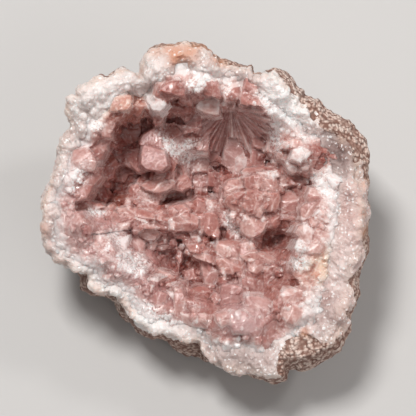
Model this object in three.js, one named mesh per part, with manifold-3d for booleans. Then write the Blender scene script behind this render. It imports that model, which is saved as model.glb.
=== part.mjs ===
// Half of an amethyst geode, lying on its back: a bowl of pale quartz with a knobbly rind, and the one crust
// of pink crystals that lines it. Millimetres, +Z up, resting on Z = 0 with the middle of its footprint at
// X = Y = 0.
//
// The geode is worked out in the frame of its mouth, where u runs across the mouth, v up it and w out of it.
// It is then leaned by LEAN and cut flat at the foot it rests on.
import * as THREE from "three";
import { ConvexGeometry } from "three/addons/geometries/ConvexGeometry.js";
import { mergeVertices } from "three/addons/utils/BufferGeometryUtils.js";
import Module from "manifold-3d";

const wasm = await Module();
wasm.setup();

// ---- driving dimensions, in millimetres and degrees ----
const LEAN = 20; // how far the mouth leans from level, towards -Y
const MOUTH_CENTRE = new THREE.Vector3(-0.18, -2.15, 35); // where the middle of the mouth stands
const BACK_DEPTH = 38; // from the mouth to the back of the nodule
const BACK_RADIUS = 45; // of the nodule's round back
const FLOOR_DEPTH = 28; // from the mouth to the rock floor of the hollow
const WIDEST_DEPTH = 7; // how far below the rim the nodule is widest
const RIM_CROWN = 1.2; // how far the rim swells up between its outer edge and the hollow
const GAP = 0.5; // between the rock and the crust
const CRUST_EDGE_THICKNESS = 1.6;
const CRUST_THICKNESS = 4.2;
const RIND_LUMP = 1.6; // height of the rind's knobs
const RIND_LUMP_SIZE = 17; // and their spacing
const RIM_LUMP = 0.8; // height of the rim's knobs
const RIM_LUMP_SIZE = 9; // and their spacing

// ---- the nodule around its mouth: [angle from u in degrees, value in millimetres] ----
// Radius of the broken rim's outline, knob by knob.
const OUTLINE = [
  [0, 45.8], [8, 46.6], [15, 47.6], [25, 49.4], [30, 49.2], [35, 47.0], [41, 45.0], [50, 44.6],
  [60, 46.0], [65, 45.0], [70, 42.8], [76, 44.2], [84, 43.6], [90, 46.8], [97, 48.6], [110, 48.4],
  [113, 45.5], [116, 43.6], [121, 47.6], [130, 49.2], [139, 50.4], [143, 48.6], [147, 45.6], [155, 44.9],
  [165, 44.4], [175, 45.8], [190, 46.0], [196, 44.0], [205, 38.0], [213, 37.8], [219, 35.2], [227, 34.8],
  [236, 36.5], [246, 36.6], [255, 35.8], [266, 36.2], [270, 40.2], [277, 43.8], [286, 46.0], [290, 49.8],
  [296, 50.8], [300, 49.7], [308, 51.8], [315, 53.4], [322, 51.4], [330, 48.6], [340, 46.0], [352, 45.6],
];
// How far the rim's outer edge stands inside that outline, where the rind turns over it.
const RIM_INSET = [
  [0, 1.8], [15, 4.0], [30, 5.5], [45, 5.5], [58, 3.0], [70, 1.5], [97, 2.0], [112, 1.2], [130, 0.8],
  [200, 0.7], [240, 0.8], [270, 1.0], [290, 1.6], [305, 3.6], [318, 3.2], [335, 2.2],
];
// Height of the rim above the plane of the mouth.
const RIM_LIFT = [
  [0, 1], [30, -2], [45, -1], [60, 1], [80, 0], [97, 4.5], [108, 4.5], [116, 1.5], [130, 3.5], [142, 3],
  [150, 0], [180, 0], [200, -2], [225, -3], [245, -3], [265, -2], [285, 1], [300, 2], [320, 3], [340, 2],
];
// Radius at which the rim turns down into the hollow.
const MOUTH_RADIUS = [
  [0, 32], [20, 35], [45, 36], [60, 36], [80, 37], [97, 37], [110, 37], [125, 39], [140, 39], [155, 37],
  [175, 38], [190, 36], [205, 31], [225, 28], [245, 28], [265, 28], [280, 31], [300, 34], [320, 33],
  [340, 30],
];
// How far the rim has sloped down where it meets the hollow.
const RIM_DROP = [
  [0, 5], [30, 3], [60, 2], [97, 3], [140, 2], [170, 2.5], [210, 3.5], [250, 4], [280, 4], [310, 5], [335, 6],
];
// Share of the rim's width, from outside, that the crust leaves bare.
const RIM_BARE = [
  [0, 0.7], [30, 0.7], [50, 0.72], [65, 0.5], [85, 0.45], [97, 0.55], [110, 0.6], [125, 0.7], [140, 0.6],
  [155, 0.35], [185, 0.35], [205, 0.4], [230, 0.5], [265, 0.5], [290, 0.55], [315, 0.6], [345, 0.7],
];

// ---- relief of the crust: [u, v, half width, half height, turn in degrees, rise] ----
const MOUNDS = [
  [13.4, 3.0, 9.0, 10.5, 0, 11], // round rosette in the middle
  [-2.6, -3.6, 8.0, 7.0, 0, 8], // overlapping plates beside it
  [8.5, -12.5, 10.5, 6.0, 0, 8], // blocky cluster below
  [11.0, -26.0, 10.0, 8.0, 0, 6], // soft mass on the lower slope
  [-13.5, 8.2, 10.0, 3.2, 22, 7], // upper ledge
  [-18.5, -1.4, 14.5, 3.8, 6, 8], // lower ledge
  [-14.5, 16.6, 7.5, 5.0, 0, 9], // big blocks of the upper left
  [24.5, 16.0, 6.0, 5.5, 0, 7], // spiky flower
  [28.5, -9.0, 4.0, 6.5, 0, 5], // bright group on the right
  [-24.0, -12.0, 10.0, 6.0, -35, 4], // lower left slope
  [-3.0, 22.5, 7.0, 5.0, 0, 6], // frosted group under the top knob
];
const PITS = [
  [-24.5, 14.5, 6.5, 9.5, -12, -8], // deep pocket of the upper left
  [-3.2, 6.4, 8.5, 1.9, 0, -8], // slot between ledge and plates
  [19.0, 15.5, 2.4, 2.6, 0, -5], // hole beside the fan
  [32.0, 13.0, 2.6, 4.2, 0, -4], // cleft by the right wall
  [21.5, -7.4, 5.0, 3.0, -20, -7], // cave of the lower right
  [23.8, -20.5, 3.2, 1.6, -20, -3], // crack in the lower right
  [-7.5, -13.5, 6.5, 3.4, -15, -3], // smooth hollow of the lower left
  [-1.5, -18.8, 5.5, 1.8, 0, -4], // gap below it
];

// ---- crystals that stand out: [u, v, radius, length, lean in u, lean in v, turn] ----
const BLOCKS = [
  [-20.2, 16.0, 4.0, 7.0, -0.25, -0.1, 10],
  [-14.2, 16.2, 3.9, 9.0, 0.05, -0.1, 28],
  [-15.6, 21.6, 3.6, 6.0, 0.0, 0.25, 45],
  [-21.0, 23.0, 3.5, 4.0, 0.1, 0.2, 5],
  [-13.6, 30.0, 2.4, 6.0, 0.35, -0.55, 0],
  [1.2, 29.6, 3.2, 5.5, -0.1, -0.3, 20],
  [-7.5, 23.5, 3.0, 5.0, -0.2, 0.2, 15],
  [4.6, 20.5, 2.6, 5.0, 0.2, -0.2, 40],
  [-9.0, 9.6, 3.4, 5.5, 0.1, -0.35, 12],
  [-16.5, 7.2, 3.2, 5.0, -0.1, -0.3, 33],
  [-21.5, 5.0, 2.4, 4.0, -0.2, -0.2, 20],
  [-3.6, 10.0, 2.8, 5.0, 0.1, -0.3, 50],
  [0.6, 10.8, 2.7, 4.5, 0.2, -0.2, 5],
  [-26.0, -0.8, 2.8, 5.0, -0.35, 0.1, 12],
  [-19.0, -0.2, 3.2, 5.5, -0.1, 0.3, 40],
  [-12.2, -0.8, 3.2, 5.5, 0.1, 0.35, 22],
  [-7.0, -1.0, 2.8, 5.0, 0.2, 0.2, 0],
  [-2.2, 3.4, 3.2, 6.0, -0.1, 0.3, 32],
  [2.6, 2.8, 3.0, 5.5, 0.1, 0.3, 8],
  [-3.6, -4.6, 4.6, 7.0, -0.1, 0.1, 15],
  [0.6, -0.4, 3.8, 6.5, 0.1, 0.2, 40],
  [2.4, -6.4, 3.7, 6.5, 0.2, -0.2, 0],
  [-8.4, -7.0, 3.2, 5.0, -0.25, -0.2, 28],
  [12.0, 5.6, 5.2, 7.5, 0.0, 0.2, 10],
  [17.4, 2.4, 4.6, 7.0, 0.3, 0.0, 35],
  [10.4, -1.0, 4.8, 7.0, -0.2, -0.1, 50],
  [15.2, -3.6, 4.2, 6.5, 0.2, -0.3, 18],
  [8.2, 2.6, 3.6, 6.0, -0.3, 0.15, 5],
  [15.8, 9.0, 3.4, 6.0, 0.25, 0.35, 42],
  [10.6, -7.4, 4.0, 5.5, -0.1, -0.4, 22],
  [24.2, 4.6, 3.6, 6.0, 0.25, 0.2, 8],
  [27.4, 0.2, 3.2, 5.5, -0.35, -0.2, 30],
  [22.4, -1.6, 3.4, 5.5, 0.1, -0.35, 48],
  [29.6, 5.2, 2.8, 4.5, -0.35, 0.1, 12],
  [22.4, 17.6, 2.8, 5.5, -0.2, 0.3, 0],
  [26.6, 17.2, 2.8, 5.5, 0.25, 0.2, 25],
  [24.0, 13.4, 3.0, 6.0, -0.1, -0.35, 40],
  [27.6, 13.0, 2.2, 4.5, 0.3, -0.3, 15],
  [27.2, -5.6, 3.0, 5.5, -0.4, 0.1, 33],
  [29.6, -10.8, 3.2, 5.0, -0.35, -0.1, 5],
  [26.4, -13.6, 2.6, 4.5, -0.25, -0.3, 20],
  [5.2, -10.6, 3.6, 6.0, -0.2, 0.35, 12],
  [9.6, -12.4, 4.2, 6.5, 0.0, 0.1, 30],
  [14.4, -14.6, 3.4, 5.5, 0.2, -0.1, 46],
  [7.0, -16.2, 3.6, 5.5, -0.1, -0.3, 8],
  [19.4, -13.8, 2.8, 5.0, 0.3, 0.1, 25],
  [18.6, -17.6, 3.0, 5.0, 0.2, -0.2, 0],
  [-0.6, -15.6, 3.4, 6.0, -0.1, -0.5, 18],
  [-5.6, -16.8, 3.0, 5.0, -0.3, -0.2, 36],
  [-11.6, -18.0, 4.2, 6.0, 0.55, 0.15, 12],
  [-9.6, -23.6, 3.8, 5.0, 0.25, 0.1, 40],
  [-2.6, -24.4, 3.6, 5.0, 0.1, 0.3, 15],
  [4.6, -22.6, 3.6, 5.5, -0.1, 0.3, 5],
  [9.8, -24.6, 4.2, 5.5, 0.0, 0.2, 28],
  [15.6, -26.6, 4.0, 5.0, 0.15, 0.1, 44],
  [10.4, -31.2, 3.8, 4.5, 0.0, -0.1, 18],
  [17.4, -33.0, 3.2, 4.0, 0.2, -0.1, 0],
  [-22.4, -9.8, 3.0, 4.5, -0.1, 0.1, 20],
  [-16.4, -8.4, 3.4, 5.0, 0.1, 0.2, 48],
  [-28.6, -5.8, 2.8, 4.0, 0.2, 0.0, 9],
  [-34.0, 9.0, 3.0, 4.0, 0.3, 0.0, 26],
  [-32.6, 16.8, 3.2, 4.5, 0.4, 0.0, 2],
  [-33.2, 1.6, 3.0, 4.0, 0.25, 0.05, 38],
];

// ---- fan of long crystals that hangs from the top wall ----
const FAN_ROOT = new THREE.Vector3(7.6, 30.4, -13);
const FAN_TIP_RISE = 6; // how far the tips stand out from the root, along w
const FAN_RAYS = [
  // [direction from u in degrees, length, radius at the tip]
  [-172, 12, 2.2], [-158, 14, 2.6], [-144, 15, 2.7], [-130, 16, 2.7], [-115, 16, 2.5], [-101, 16, 2.5],
  [-84, 18, 3.4], [-66, 17, 2.8], [-50, 17, 2.5], [-36, 16, 2.3], [-23, 15, 2.0],
];

// ---- fine crystals between them ----
const FINE_COUNT = 84;
const FINE_RADIUS = 2.8;

// ---- mesh fineness ----
const ROCK_SECTORS = 64;
const BACK_RINGS = 8;
const WALL_RINGS = 4;
const CRUST_SECTORS = 32;
const CRUST_RINGS = 8;

// ---- fixed shares and shapes ----
const WIDEST_AT = 0.8; // of the way from the middle of the back to the rim, where the nodule is widest
const RIM_SHARE = 0.3; // of the way from the rim's outer edge to the floor's middle, the part that is rim
const SUNK = 0.4; // share of a standing crystal's length that is buried in the crust
const POINT_SLOPE = 1.27; // steepness of the faces of a quartz point
const STUBBY = 1.75; // length over radius up to which a crystal has no sides
const CEILING = 30; // a height over the mouth that no crystal reaches
const GOLDEN_ANGLE = Math.PI * (3 - Math.sqrt(5));
const DEGREE = Math.PI / 180;

// ---- small helpers ----

// A table's value at an angle in degrees, eased between its neighbours, around the full turn.
function around(table, angle) {
  const a = ((angle % 360) + 360) % 360;
  const next = table.findIndex(([t]) => t > a);
  const [t1, v1] = table[next < 0 ? 0 : next];
  const [t0, v0] = table[(next <= 0 ? table.length : next) - 1];
  const span = (t1 - t0 + 360) % 360;
  const q = ((a - t0 + 360) % 360) / span;
  return THREE.MathUtils.lerp(v0, v1, (1 - Math.cos(Math.PI * q)) / 2);
}

// A repeatable number from 0 to 1 for item k.
function chance(k, salt) {
  const x = Math.sin(k * 12.9898 + salt * 78.233) * 43758.5453;
  return x - Math.floor(x);
}

// A lumpy field from about -1 to 1: waves of one size whose directions are spread over a sphere.
function lumps(p, size) {
  const waves = 7;
  let sum = 0;
  for (let k = 1; k <= waves; k++) {
    const z = 1 - (2 * k - 1) / waves;
    const r = Math.sqrt(1 - z * z);
    const along = p.x * r * Math.cos(k * GOLDEN_ANGLE) + p.y * r * Math.sin(k * GOLDEN_ANGLE) + p.z * z;
    sum += Math.sin((along * 2 * Math.PI) / size + 1.7 * k);
  }
  return sum / Math.sqrt(waves);
}

// A bump of height 1 at the middle of a turned ellipse, falling smoothly away outside its half widths.
function bump(u, v, [cu, cv, halfU, halfV, turn]) {
  const c = Math.cos(turn * DEGREE);
  const s = Math.sin(turn * DEGREE);
  const x = ((u - cu) * c + (v - cv) * s) / halfU;
  const y = ((v - cv) * c - (u - cu) * s) / halfV;
  return Math.exp(-Math.pow(x * x + y * y, 1.5) * 0.8);
}

// How far the crust's mounds and pits together lift it over (u, v).
function relief(u, v) {
  return [...MOUNDS, ...PITS].reduce((sum, form) => sum + form[5] * bump(u, v, form), 0);
}

const polar = (angle, radius, w) =>
  new THREE.Vector3(radius * Math.cos(angle * DEGREE), radius * Math.sin(angle * DEGREE), w);

// ---- surfaces in the mouth's frame ----

// The rind, from the middle of the back (t = 0) to the rim's outer edge (t = 1).
function rind(angle, t) {
  const radius = around(OUTLINE, angle);
  const lift = around(RIM_LIFT, angle);
  const widest = lift - WIDEST_DEPTH;
  if (t > WIDEST_AT) {
    const q = (t - WIDEST_AT) / (1 - WIDEST_AT);
    return polar(angle, radius - around(RIM_INSET, angle) * q * q, THREE.MathUtils.lerp(widest, lift, q));
  }
  const rise = (t / WIDEST_AT) * 90 * DEGREE;
  // The back is rounder than the ragged rim, so the outline's knobs fade towards it.
  const faded = THREE.MathUtils.lerp(BACK_RADIUS, radius, Math.pow(t / WIDEST_AT, 2));
  const depth = (BACK_DEPTH + widest) * Math.cos(rise);
  const p = polar(angle, faded * Math.pow(Math.sin(rise), 0.9), widest - depth);
  const out = p.clone().setZ(p.z - widest).normalize();
  const fade = 1 - Math.pow(t / WIDEST_AT, 6);
  return p.addScaledVector(out, RIND_LUMP * fade * (2 * Math.abs(lumps(p, RIND_LUMP_SIZE)) - 1));
}

// The rock seen from the mouth, from the rim's outer edge (t = 0) to the middle of its floor (t = 1).
function rock(angle, t) {
  const lift = around(RIM_LIFT, angle);
  const edge = around(OUTLINE, angle) - around(RIM_INSET, angle);
  const mouth = around(MOUTH_RADIUS, angle);
  const mouthHeight = lift - around(RIM_DROP, angle);
  if (t <= RIM_SHARE) {
    const q = t / RIM_SHARE;
    const p = polar(angle, THREE.MathUtils.lerp(edge, mouth, q), 0);
    p.z = THREE.MathUtils.lerp(lift, mouthHeight, q * q);
    p.z += (RIM_CROWN + RIM_LUMP * lumps(p, RIM_LUMP_SIZE)) * Math.sin(Math.PI * Math.sqrt(q));
    return p;
  }
  const dive = ((t - RIM_SHARE) / (1 - RIM_SHARE)) * 90 * DEGREE;
  return polar(
    angle,
    mouth * Math.pow(Math.cos(dive), 0.8),
    mouthHeight - (FLOOR_DEPTH + mouthHeight) * Math.pow(Math.sin(dive), 1.1),
  );
}

// The direction in which rock() faces.
function rockNormal(angle, t) {
  const step = 0.01;
  if (t > 1 - 3 * step) return new THREE.Vector3(0, 0, 1);
  const inward = rock(angle, t + step).sub(rock(angle, Math.max(t - step, 0)));
  const round = rock(angle + 1, t).sub(rock(angle - 1, t));
  return round.cross(inward).normalize();
}

const aboveRock = (angle, t, height) => rock(angle, t).addScaledVector(rockNormal(angle, t), height);

// The crust's edge, as a value of rock()'s t, and the t under a share s of the way from there to the middle.
const crustEdge = (angle) => around(RIM_BARE, angle) * RIM_SHARE;
const underCrust = (angle, s) => THREE.MathUtils.lerp(crustEdge(angle), 1, s);

// The crust's own face, without its crystals. s runs from its outer edge (0) to the middle of the hollow (1).
function crustFace(angle, s) {
  const t = underCrust(angle, s);
  const grown = THREE.MathUtils.smoothstep(s, 0, 0.35);
  const p = aboveRock(angle, t, GAP + THREE.MathUtils.lerp(CRUST_EDGE_THICKNESS, CRUST_THICKNESS, grown));
  const floor = aboveRock(angle, t, GAP + CRUST_EDGE_THICKNESS).z;
  p.z = Math.max(p.z + grown * relief(p.x, p.y), floor);
  return p;
}

// ---- meshes and solids ----

// Even steps from one value to another, without the first.
function steps(count, from, to) {
  return Array.from({ length: count }, (_, i) => THREE.MathUtils.lerp(from, to, (i + 1) / count));
}

// A closed geometry from rings of points. The first and last rings are single points.
function closedGeometry(rings) {
  const position = rings.flat().flatMap((p) => p.toArray());
  const index = [];
  const sectors = rings[1].length;
  let first = 0;
  for (let k = 0; k + 1 < rings.length; k++) {
    const here = rings[k].length;
    const there = rings[k + 1].length;
    const second = first + here;
    for (let i = 0; i < sectors; i++) {
      const j = (i + 1) % sectors;
      if (here > 1) index.push(first + i, first + j, second + (there > 1 ? i : 0));
      if (there > 1) index.push(first + (here > 1 ? j : 0), second + j, second + i);
    }
    first = second;
  }
  const geometry = new THREE.BufferGeometry();
  geometry.setAttribute("position", new THREE.Float32BufferAttribute(position, 3));
  geometry.setIndex(index);
  return geometry;
}

// One point of a surface per sector, at the t that stop() gives for that angle.
function ring(surface, stop, sectors = ROCK_SECTORS) {
  return Array.from({ length: sectors }, (_, i) => {
    const angle = (i * 360) / sectors;
    return surface(angle, stop(angle));
  });
}

// Where rock() has its rings: one on the bare rim, then from the crust's edge on under the crust.
const BARE_STOPS = [(angle) => 0.5 * crustEdge(angle)];
const COVERED_STOPS = [
  crustEdge,
  (angle) => 0.5 * (crustEdge(angle) + RIM_SHARE),
  () => RIM_SHARE,
  ...steps(WALL_RINGS, RIM_SHARE, 1).slice(0, -1).map((t) => () => t),
];
const ROCK_STOPS = [...BARE_STOPS, ...COVERED_STOPS];

// A solid to join and cut, from a closed geometry.
function solid(geometry) {
  const plain = geometry.clone().deleteAttribute("normal").deleteAttribute("uv");
  const merged = mergeVertices(plain, 1e-4);
  return new wasm.Manifold(
    new wasm.Mesh({
      numProp: 3,
      vertProperties: merged.attributes.position.array,
      triVerts: new Uint32Array(merged.index.array),
    }),
  );
}

function geometryOf(manifold) {
  const { vertProperties, triVerts } = manifold.getMesh();
  const geometry = new THREE.BufferGeometry();
  geometry.setAttribute("position", new THREE.BufferAttribute(vertProperties, 3));
  geometry.setIndex(new THREE.BufferAttribute(triVerts, 1));
  return geometry;
}

// From the mouth's frame to the finished one.
const STANDING = new THREE.Matrix4()
  .makeTranslation(MOUTH_CENTRE)
  .multiply(new THREE.Matrix4().makeRotationX(LEAN * DEGREE));

// ---- rock shell ----

// The bowl, from the middle of its back over the rim to the middle of the hollow, cut flat where it rests.
function makeRockShell() {
  const rings = [
    [rind(0, 0)],
    ...steps(BACK_RINGS, 0, WIDEST_AT).map((t) => ring(rind, () => t)),
    ring(rind, () => 0.92),
    ring(rind, () => 1),
    ...ROCK_STOPS.map((stop) => ring(rock, stop)),
    [rock(0, 1)],
  ];
  const bowl = solid(closedGeometry(rings).applyMatrix4(STANDING));
  const ground = solid(new THREE.BoxGeometry(200, 200, 100).translate(0, 0, -50));
  return geometryOf(bowl.subtract(ground));
}

// ---- crystal crust ----

// A quartz crystal from its root at the origin along +Z: six sides under a point whose three main faces are
// wider than the three between them. taper is the root's width as a share of the shoulder's.
function prismGeometry(radius, length, taper = 1) {
  const points = [new THREE.Vector3(0, 0, length)];
  for (let k = 0; k < 6; k++) {
    const angle = 60 * k + 30;
    const corner = radius / Math.cos(30 * DEGREE);
    points.push(polar(angle, corner, length - POINT_SLOPE * radius));
    points.push(polar(angle, corner * taper, 0));
  }
  const reach = 0.47 * radius; // of the edges that part the main faces
  for (let k = 0; k < 3; k++) {
    points.push(polar(120 * k + 60, reach, length - (POINT_SLOPE / 2) * reach));
  }
  return new ConvexGeometry(points);
}

// A stubby crystal with no sides, only its three main faces and the three opposite: nearly a cube on its
// corner, with its upper corner at a height above the origin.
function stubGeometry(radius, height) {
  const drop = (POINT_SLOPE / 2) * radius;
  const points = [new THREE.Vector3(0, 0, height), new THREE.Vector3(0, 0, height - 3 * drop)];
  for (let k = 0; k < 3; k++) {
    points.push(polar(120 * k + 60, radius, height - drop));
    points.push(polar(120 * k, radius, height - 2 * drop));
  }
  return new ConvexGeometry(points);
}

// A crystal's solid with its root at a point, leaning along a direction and turned about it.
function planted(geometry, root, direction, turn) {
  const up = new THREE.Vector3(0, 0, 1);
  const leaning = new THREE.Quaternion().setFromUnitVectors(up, direction.clone().normalize());
  geometry.rotateZ(turn * DEGREE);
  geometry.applyQuaternion(leaning);
  geometry.translate(root.x, root.y, root.z);
  return solid(geometry);
}

// The point of the crust's face over (u, v), found by walking in from its edge along one angle.
function faceOver(u, v) {
  const angle = Math.atan2(v, u) / DEGREE;
  const reach = Math.hypot(u, v);
  let low = 0;
  let high = 1;
  for (let k = 0; k < 16; k++) {
    const middle = (low + high) / 2;
    const p = crustFace(angle, middle);
    if (Math.hypot(p.x, p.y) > reach) low = middle;
    else high = middle;
  }
  return crustFace(angle, low);
}

// The crystals of BLOCKS.
function blocks() {
  return BLOCKS.map(([u, v, radius, length, leanU, leanV, turn]) => {
    const direction = new THREE.Vector3(leanU, leanV, 1).normalize();
    const root = faceOver(u, v).addScaledVector(direction, -SUNK * length);
    const shape = length > STUBBY * radius ? prismGeometry : stubGeometry;
    return planted(shape(radius, length), root, direction, turn);
  });
}

// The rays of the fan, which widen from one root.
function fan() {
  const taper = 0.3;
  return FAN_RAYS.map(([angle, length, radius], k) => {
    const direction = polar(angle, length, FAN_TIP_RISE + 2 * chance(k, 3));
    return planted(prismGeometry(radius, direction.length(), taper), FAN_ROOT, direction, 30);
  });
}

// Stubby crystals strewn evenly over the crust, each facing roughly away from it.
function fineCrystals() {
  return Array.from({ length: FINE_COUNT }, (_, k) => {
    const s = 1 - 0.96 * Math.sqrt((k + 0.5) / FINE_COUNT);
    const angle = (k * GOLDEN_ANGLE) / DEGREE;
    const scatter = new THREE.Vector3(chance(k, 1) - 0.5, chance(k, 2) - 0.5, chance(k, 3));
    const direction = rockNormal(angle, underCrust(angle, s)).add(scatter);
    const radius = FINE_RADIUS * (0.6 + 0.8 * chance(k, 4));
    return planted(stubGeometry(radius, 0.8 * radius), crustFace(angle, s), direction, 120 * chance(k, 5));
  });
}

// Everything above the rock, GAP clear of it, as far out as the rim's outer edge.
function roomOverRock() {
  const underside = (angle, t) => aboveRock(angle, t, GAP);
  const edge = ring(underside, () => 0);
  const rings = [...ROCK_STOPS].reverse().map((stop) => ring(underside, stop));
  const raised = edge.map((p) => p.clone().setZ(CEILING));
  const top = [new THREE.Vector3(0, 0, CEILING)];
  return solid(closedGeometry([[underside(0, 1)], ...rings, edge, raised, top]));
}

// The crust without its crystals, reaching down into the rock.
function bed() {
  // The rings draw together towards the middle, where the crust is at its roughest.
  const shares = steps(CRUST_RINGS, 0, 1).slice(0, -1).map((share) => 1 - Math.pow(1 - share, 1.5));
  const rings = shares.map((s) => ring(crustFace, () => s, CRUST_SECTORS));
  const edge = ring(crustFace, () => 0, CRUST_SECTORS);
  const sunk = edge.map((p) => p.clone().setZ(-BACK_DEPTH));
  const bottom = [new THREE.Vector3(0, 0, -BACK_DEPTH)];
  return solid(closedGeometry([bottom, sunk, edge, ...rings, [crustFace(0, 1)]]));
}

// The bed and everything that grew on it, in one piece. Loose crumbs are left out.
function makeCrystalCrust() {
  const grown = wasm.Manifold.union([bed(), ...blocks(), ...fan(), ...fineCrystals()]);
  const trimmed = grown.intersect(roomOverRock());
  const whole = trimmed.decompose().sort((a, b) => b.volume() - a.volume())[0];
  return geometryOf(whole).applyMatrix4(STANDING);
}

// ---- the part ----
const rockMaterial = new THREE.MeshStandardMaterial({ color: 0xe3d6cf, roughness: 0.8, metalness: 0 });
const crystalMaterial = new THREE.MeshStandardMaterial({ color: 0xcf9a92, roughness: 0.3, metalness: 0 });

function node(name, geometry, material) {
  const mesh = new THREE.Mesh(geometry, material);
  mesh.name = name;
  return mesh;
}

const geode = new THREE.Group();
geode.add(node("rock_shell", makeRockShell(), rockMaterial));
geode.add(node("crystal_crust", makeCrystalCrust(), crystalMaterial));

export default geode;
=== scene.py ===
import math

import bpy
import numpy as np
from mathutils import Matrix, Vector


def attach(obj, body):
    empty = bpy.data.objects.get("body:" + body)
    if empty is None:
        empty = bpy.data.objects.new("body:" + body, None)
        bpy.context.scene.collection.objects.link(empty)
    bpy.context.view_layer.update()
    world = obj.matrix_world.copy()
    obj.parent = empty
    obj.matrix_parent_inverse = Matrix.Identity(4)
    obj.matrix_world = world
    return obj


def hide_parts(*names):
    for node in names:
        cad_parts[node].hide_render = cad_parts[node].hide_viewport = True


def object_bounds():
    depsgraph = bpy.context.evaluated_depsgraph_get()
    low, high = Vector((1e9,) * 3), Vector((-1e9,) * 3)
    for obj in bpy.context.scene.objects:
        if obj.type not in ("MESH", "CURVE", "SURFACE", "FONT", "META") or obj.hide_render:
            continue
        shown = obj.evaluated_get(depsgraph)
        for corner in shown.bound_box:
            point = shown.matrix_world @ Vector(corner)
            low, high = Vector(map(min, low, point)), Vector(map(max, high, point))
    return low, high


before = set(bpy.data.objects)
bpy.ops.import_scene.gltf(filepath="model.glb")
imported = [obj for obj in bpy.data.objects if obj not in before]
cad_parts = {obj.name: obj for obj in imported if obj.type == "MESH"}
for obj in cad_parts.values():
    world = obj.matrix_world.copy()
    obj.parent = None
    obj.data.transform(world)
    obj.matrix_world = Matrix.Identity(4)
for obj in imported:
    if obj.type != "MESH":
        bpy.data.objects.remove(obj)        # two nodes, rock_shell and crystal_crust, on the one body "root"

cad_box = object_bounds()

# ---- the mouth's frame and the camera ----
# The geode lies on its back and its open mouth leans towards the viewer. Everything is worked out in the
# mouth's frame, in millimetres: u across the mouth, v up it and w out of it. stand() takes it to the floor.
LEAN = math.radians(20)
MOUTH_CENTRE = (-0.18, -2.15, 35.0)
CAMERA_AIM = (0.84, 1.96)       # the u and v in the middle of the picture
CAMERA_DISTANCE = 600.0
SENSOR_WIDTH = 36.0
PICTURE_WIDTH = 116.5           # millimetres across the picture, measured at the nodule's widest ring
WIDEST_DEPTH = 7.0              # of that ring below the rim


def stand(points):
    """Mouth millimetres to world metres: turned by LEAN about u, then moved to the mouth's centre."""
    u, v, w = np.moveaxis(np.asarray(points, float), -1, 0)
    y = v * math.cos(LEAN) - w * math.sin(LEAN)
    z = v * math.sin(LEAN) + w * math.cos(LEAN)
    return 0.001 * (np.stack([u, y, z], -1) + MOUTH_CENTRE)


camera = bpy.data.objects.new("camera", bpy.data.cameras.new("camera"))
camera.location = stand((*CAMERA_AIM, CAMERA_DISTANCE))
camera.rotation_euler = (LEAN, 0, 0)
camera.data.sensor_width = SENSOR_WIDTH
camera.data.lens = SENSOR_WIDTH * (CAMERA_DISTANCE + WIDEST_DEPTH) / PICTURE_WIDTH
camera.data.clip_start = 0.01
bpy.context.collection.objects.link(camera)
bpy.context.scene.camera = camera


# ---- rock shell: the bowl of pale quartz and its rind ----
# One nodule grown in volcanic ash: a wall of sugary white quartz about a centimetre thick under a thin,
# granular, iron-stained rind. It was cracked open with a hammer, so its rim is ragged and the rind turns
# over it in places.
BACK_DEPTH = 38.0               # of the nodule, and FLOOR_DEPTH of its hollow, below the rim's plane
FLOOR_DEPTH = 28.0
BACK_RADIUS = 45.0
RIM_CROWN = 1.2                 # how far the rim bulges out of the broken face
RIND_LUMP, RIND_LUMP_SIZE = 1.6, 17.0
RIM_LUMP, RIM_LUMP_SIZE = 0.8, 9.0
WIDEST_AT = 0.8                 # share of the way from the middle of the back to the rim where it is widest
RIM_SHARE = 0.3                 # share of the way from the rim's edge to the hollow's middle that is rim
SHELL_SECTORS = 900
BOX_MARGIN = 0.00005            # metres that the pieces keep inside the box of the solid geode

# Tables around the mouth: [angle from u in degrees, millimetres]. First the radius of the broken outline.
OUTLINE = [
    [5.3, 45.8], [13.7, 47.3], [16.4, 47.6], [18.4, 48.7], [21.6, 49.4], [24.7, 49.6], [30.5, 49.1],
    [33, 48.4], [35.8, 46.9], [38.3, 45.7], [41.5, 45.2], [45.5, 45.9], [47.5, 44.8], [50.1, 44.1],
    [51.8, 44.9], [54.2, 44.5], [56.6, 45.3], [59.8, 45.7], [64.1, 45.5], [66.7, 43.9], [68, 42.4],
    [71.3, 42], [72.8, 43.9], [74, 43], [78, 43.2], [84.1, 43.6], [86.8, 44.9], [88.6, 46.2], [91.7, 47.6],
    [98.6, 48.4], [105, 48.7], [110, 48.1], [112, 45.5], [113.5, 42.3], [115.9, 43.6], [119.9, 47.2],
    [125.1, 47.2], [127.3, 48.6], [131.1, 49], [135.2, 50.1], [136.9, 48.9], [139.3, 50.6], [142.9, 48.8],
    [144.3, 46.5], [147, 44.7], [152.3, 45.2], [157.5, 44.6], [161, 43.8], [167.2, 44.2], [174.7, 45.6],
    [180, 45.1], [185.3, 45.8], [191.3, 45.7], [196.2, 44], [199.1, 41.2], [202.5, 40.3], [203.8, 38.5],
    [207.1, 36.8], [211.5, 38.1], [215.8, 37.3], [219.5, 34.8], [222, 33.9], [226.7, 34], [231.1, 35.2],
    [239.9, 36.3], [246.3, 37], [249.9, 35.8], [254.5, 35.7], [262.5, 36.4], [266.9, 35.9], [270.8, 40.5],
    [274.5, 42.4], [280.3, 45.3], [284, 46.2], [289.5, 48.6], [292, 51.4], [296, 51.1], [298.2, 49.2],
    [300.2, 49.6], [302, 51.2], [306.3, 52.1], [314.4, 53.3], [320.9, 52], [326.3, 49.5], [331.8, 48.6],
    [336, 46.9], [340.3, 45.8], [345.6, 46.2], [354.7, 45.6],
]
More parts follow.
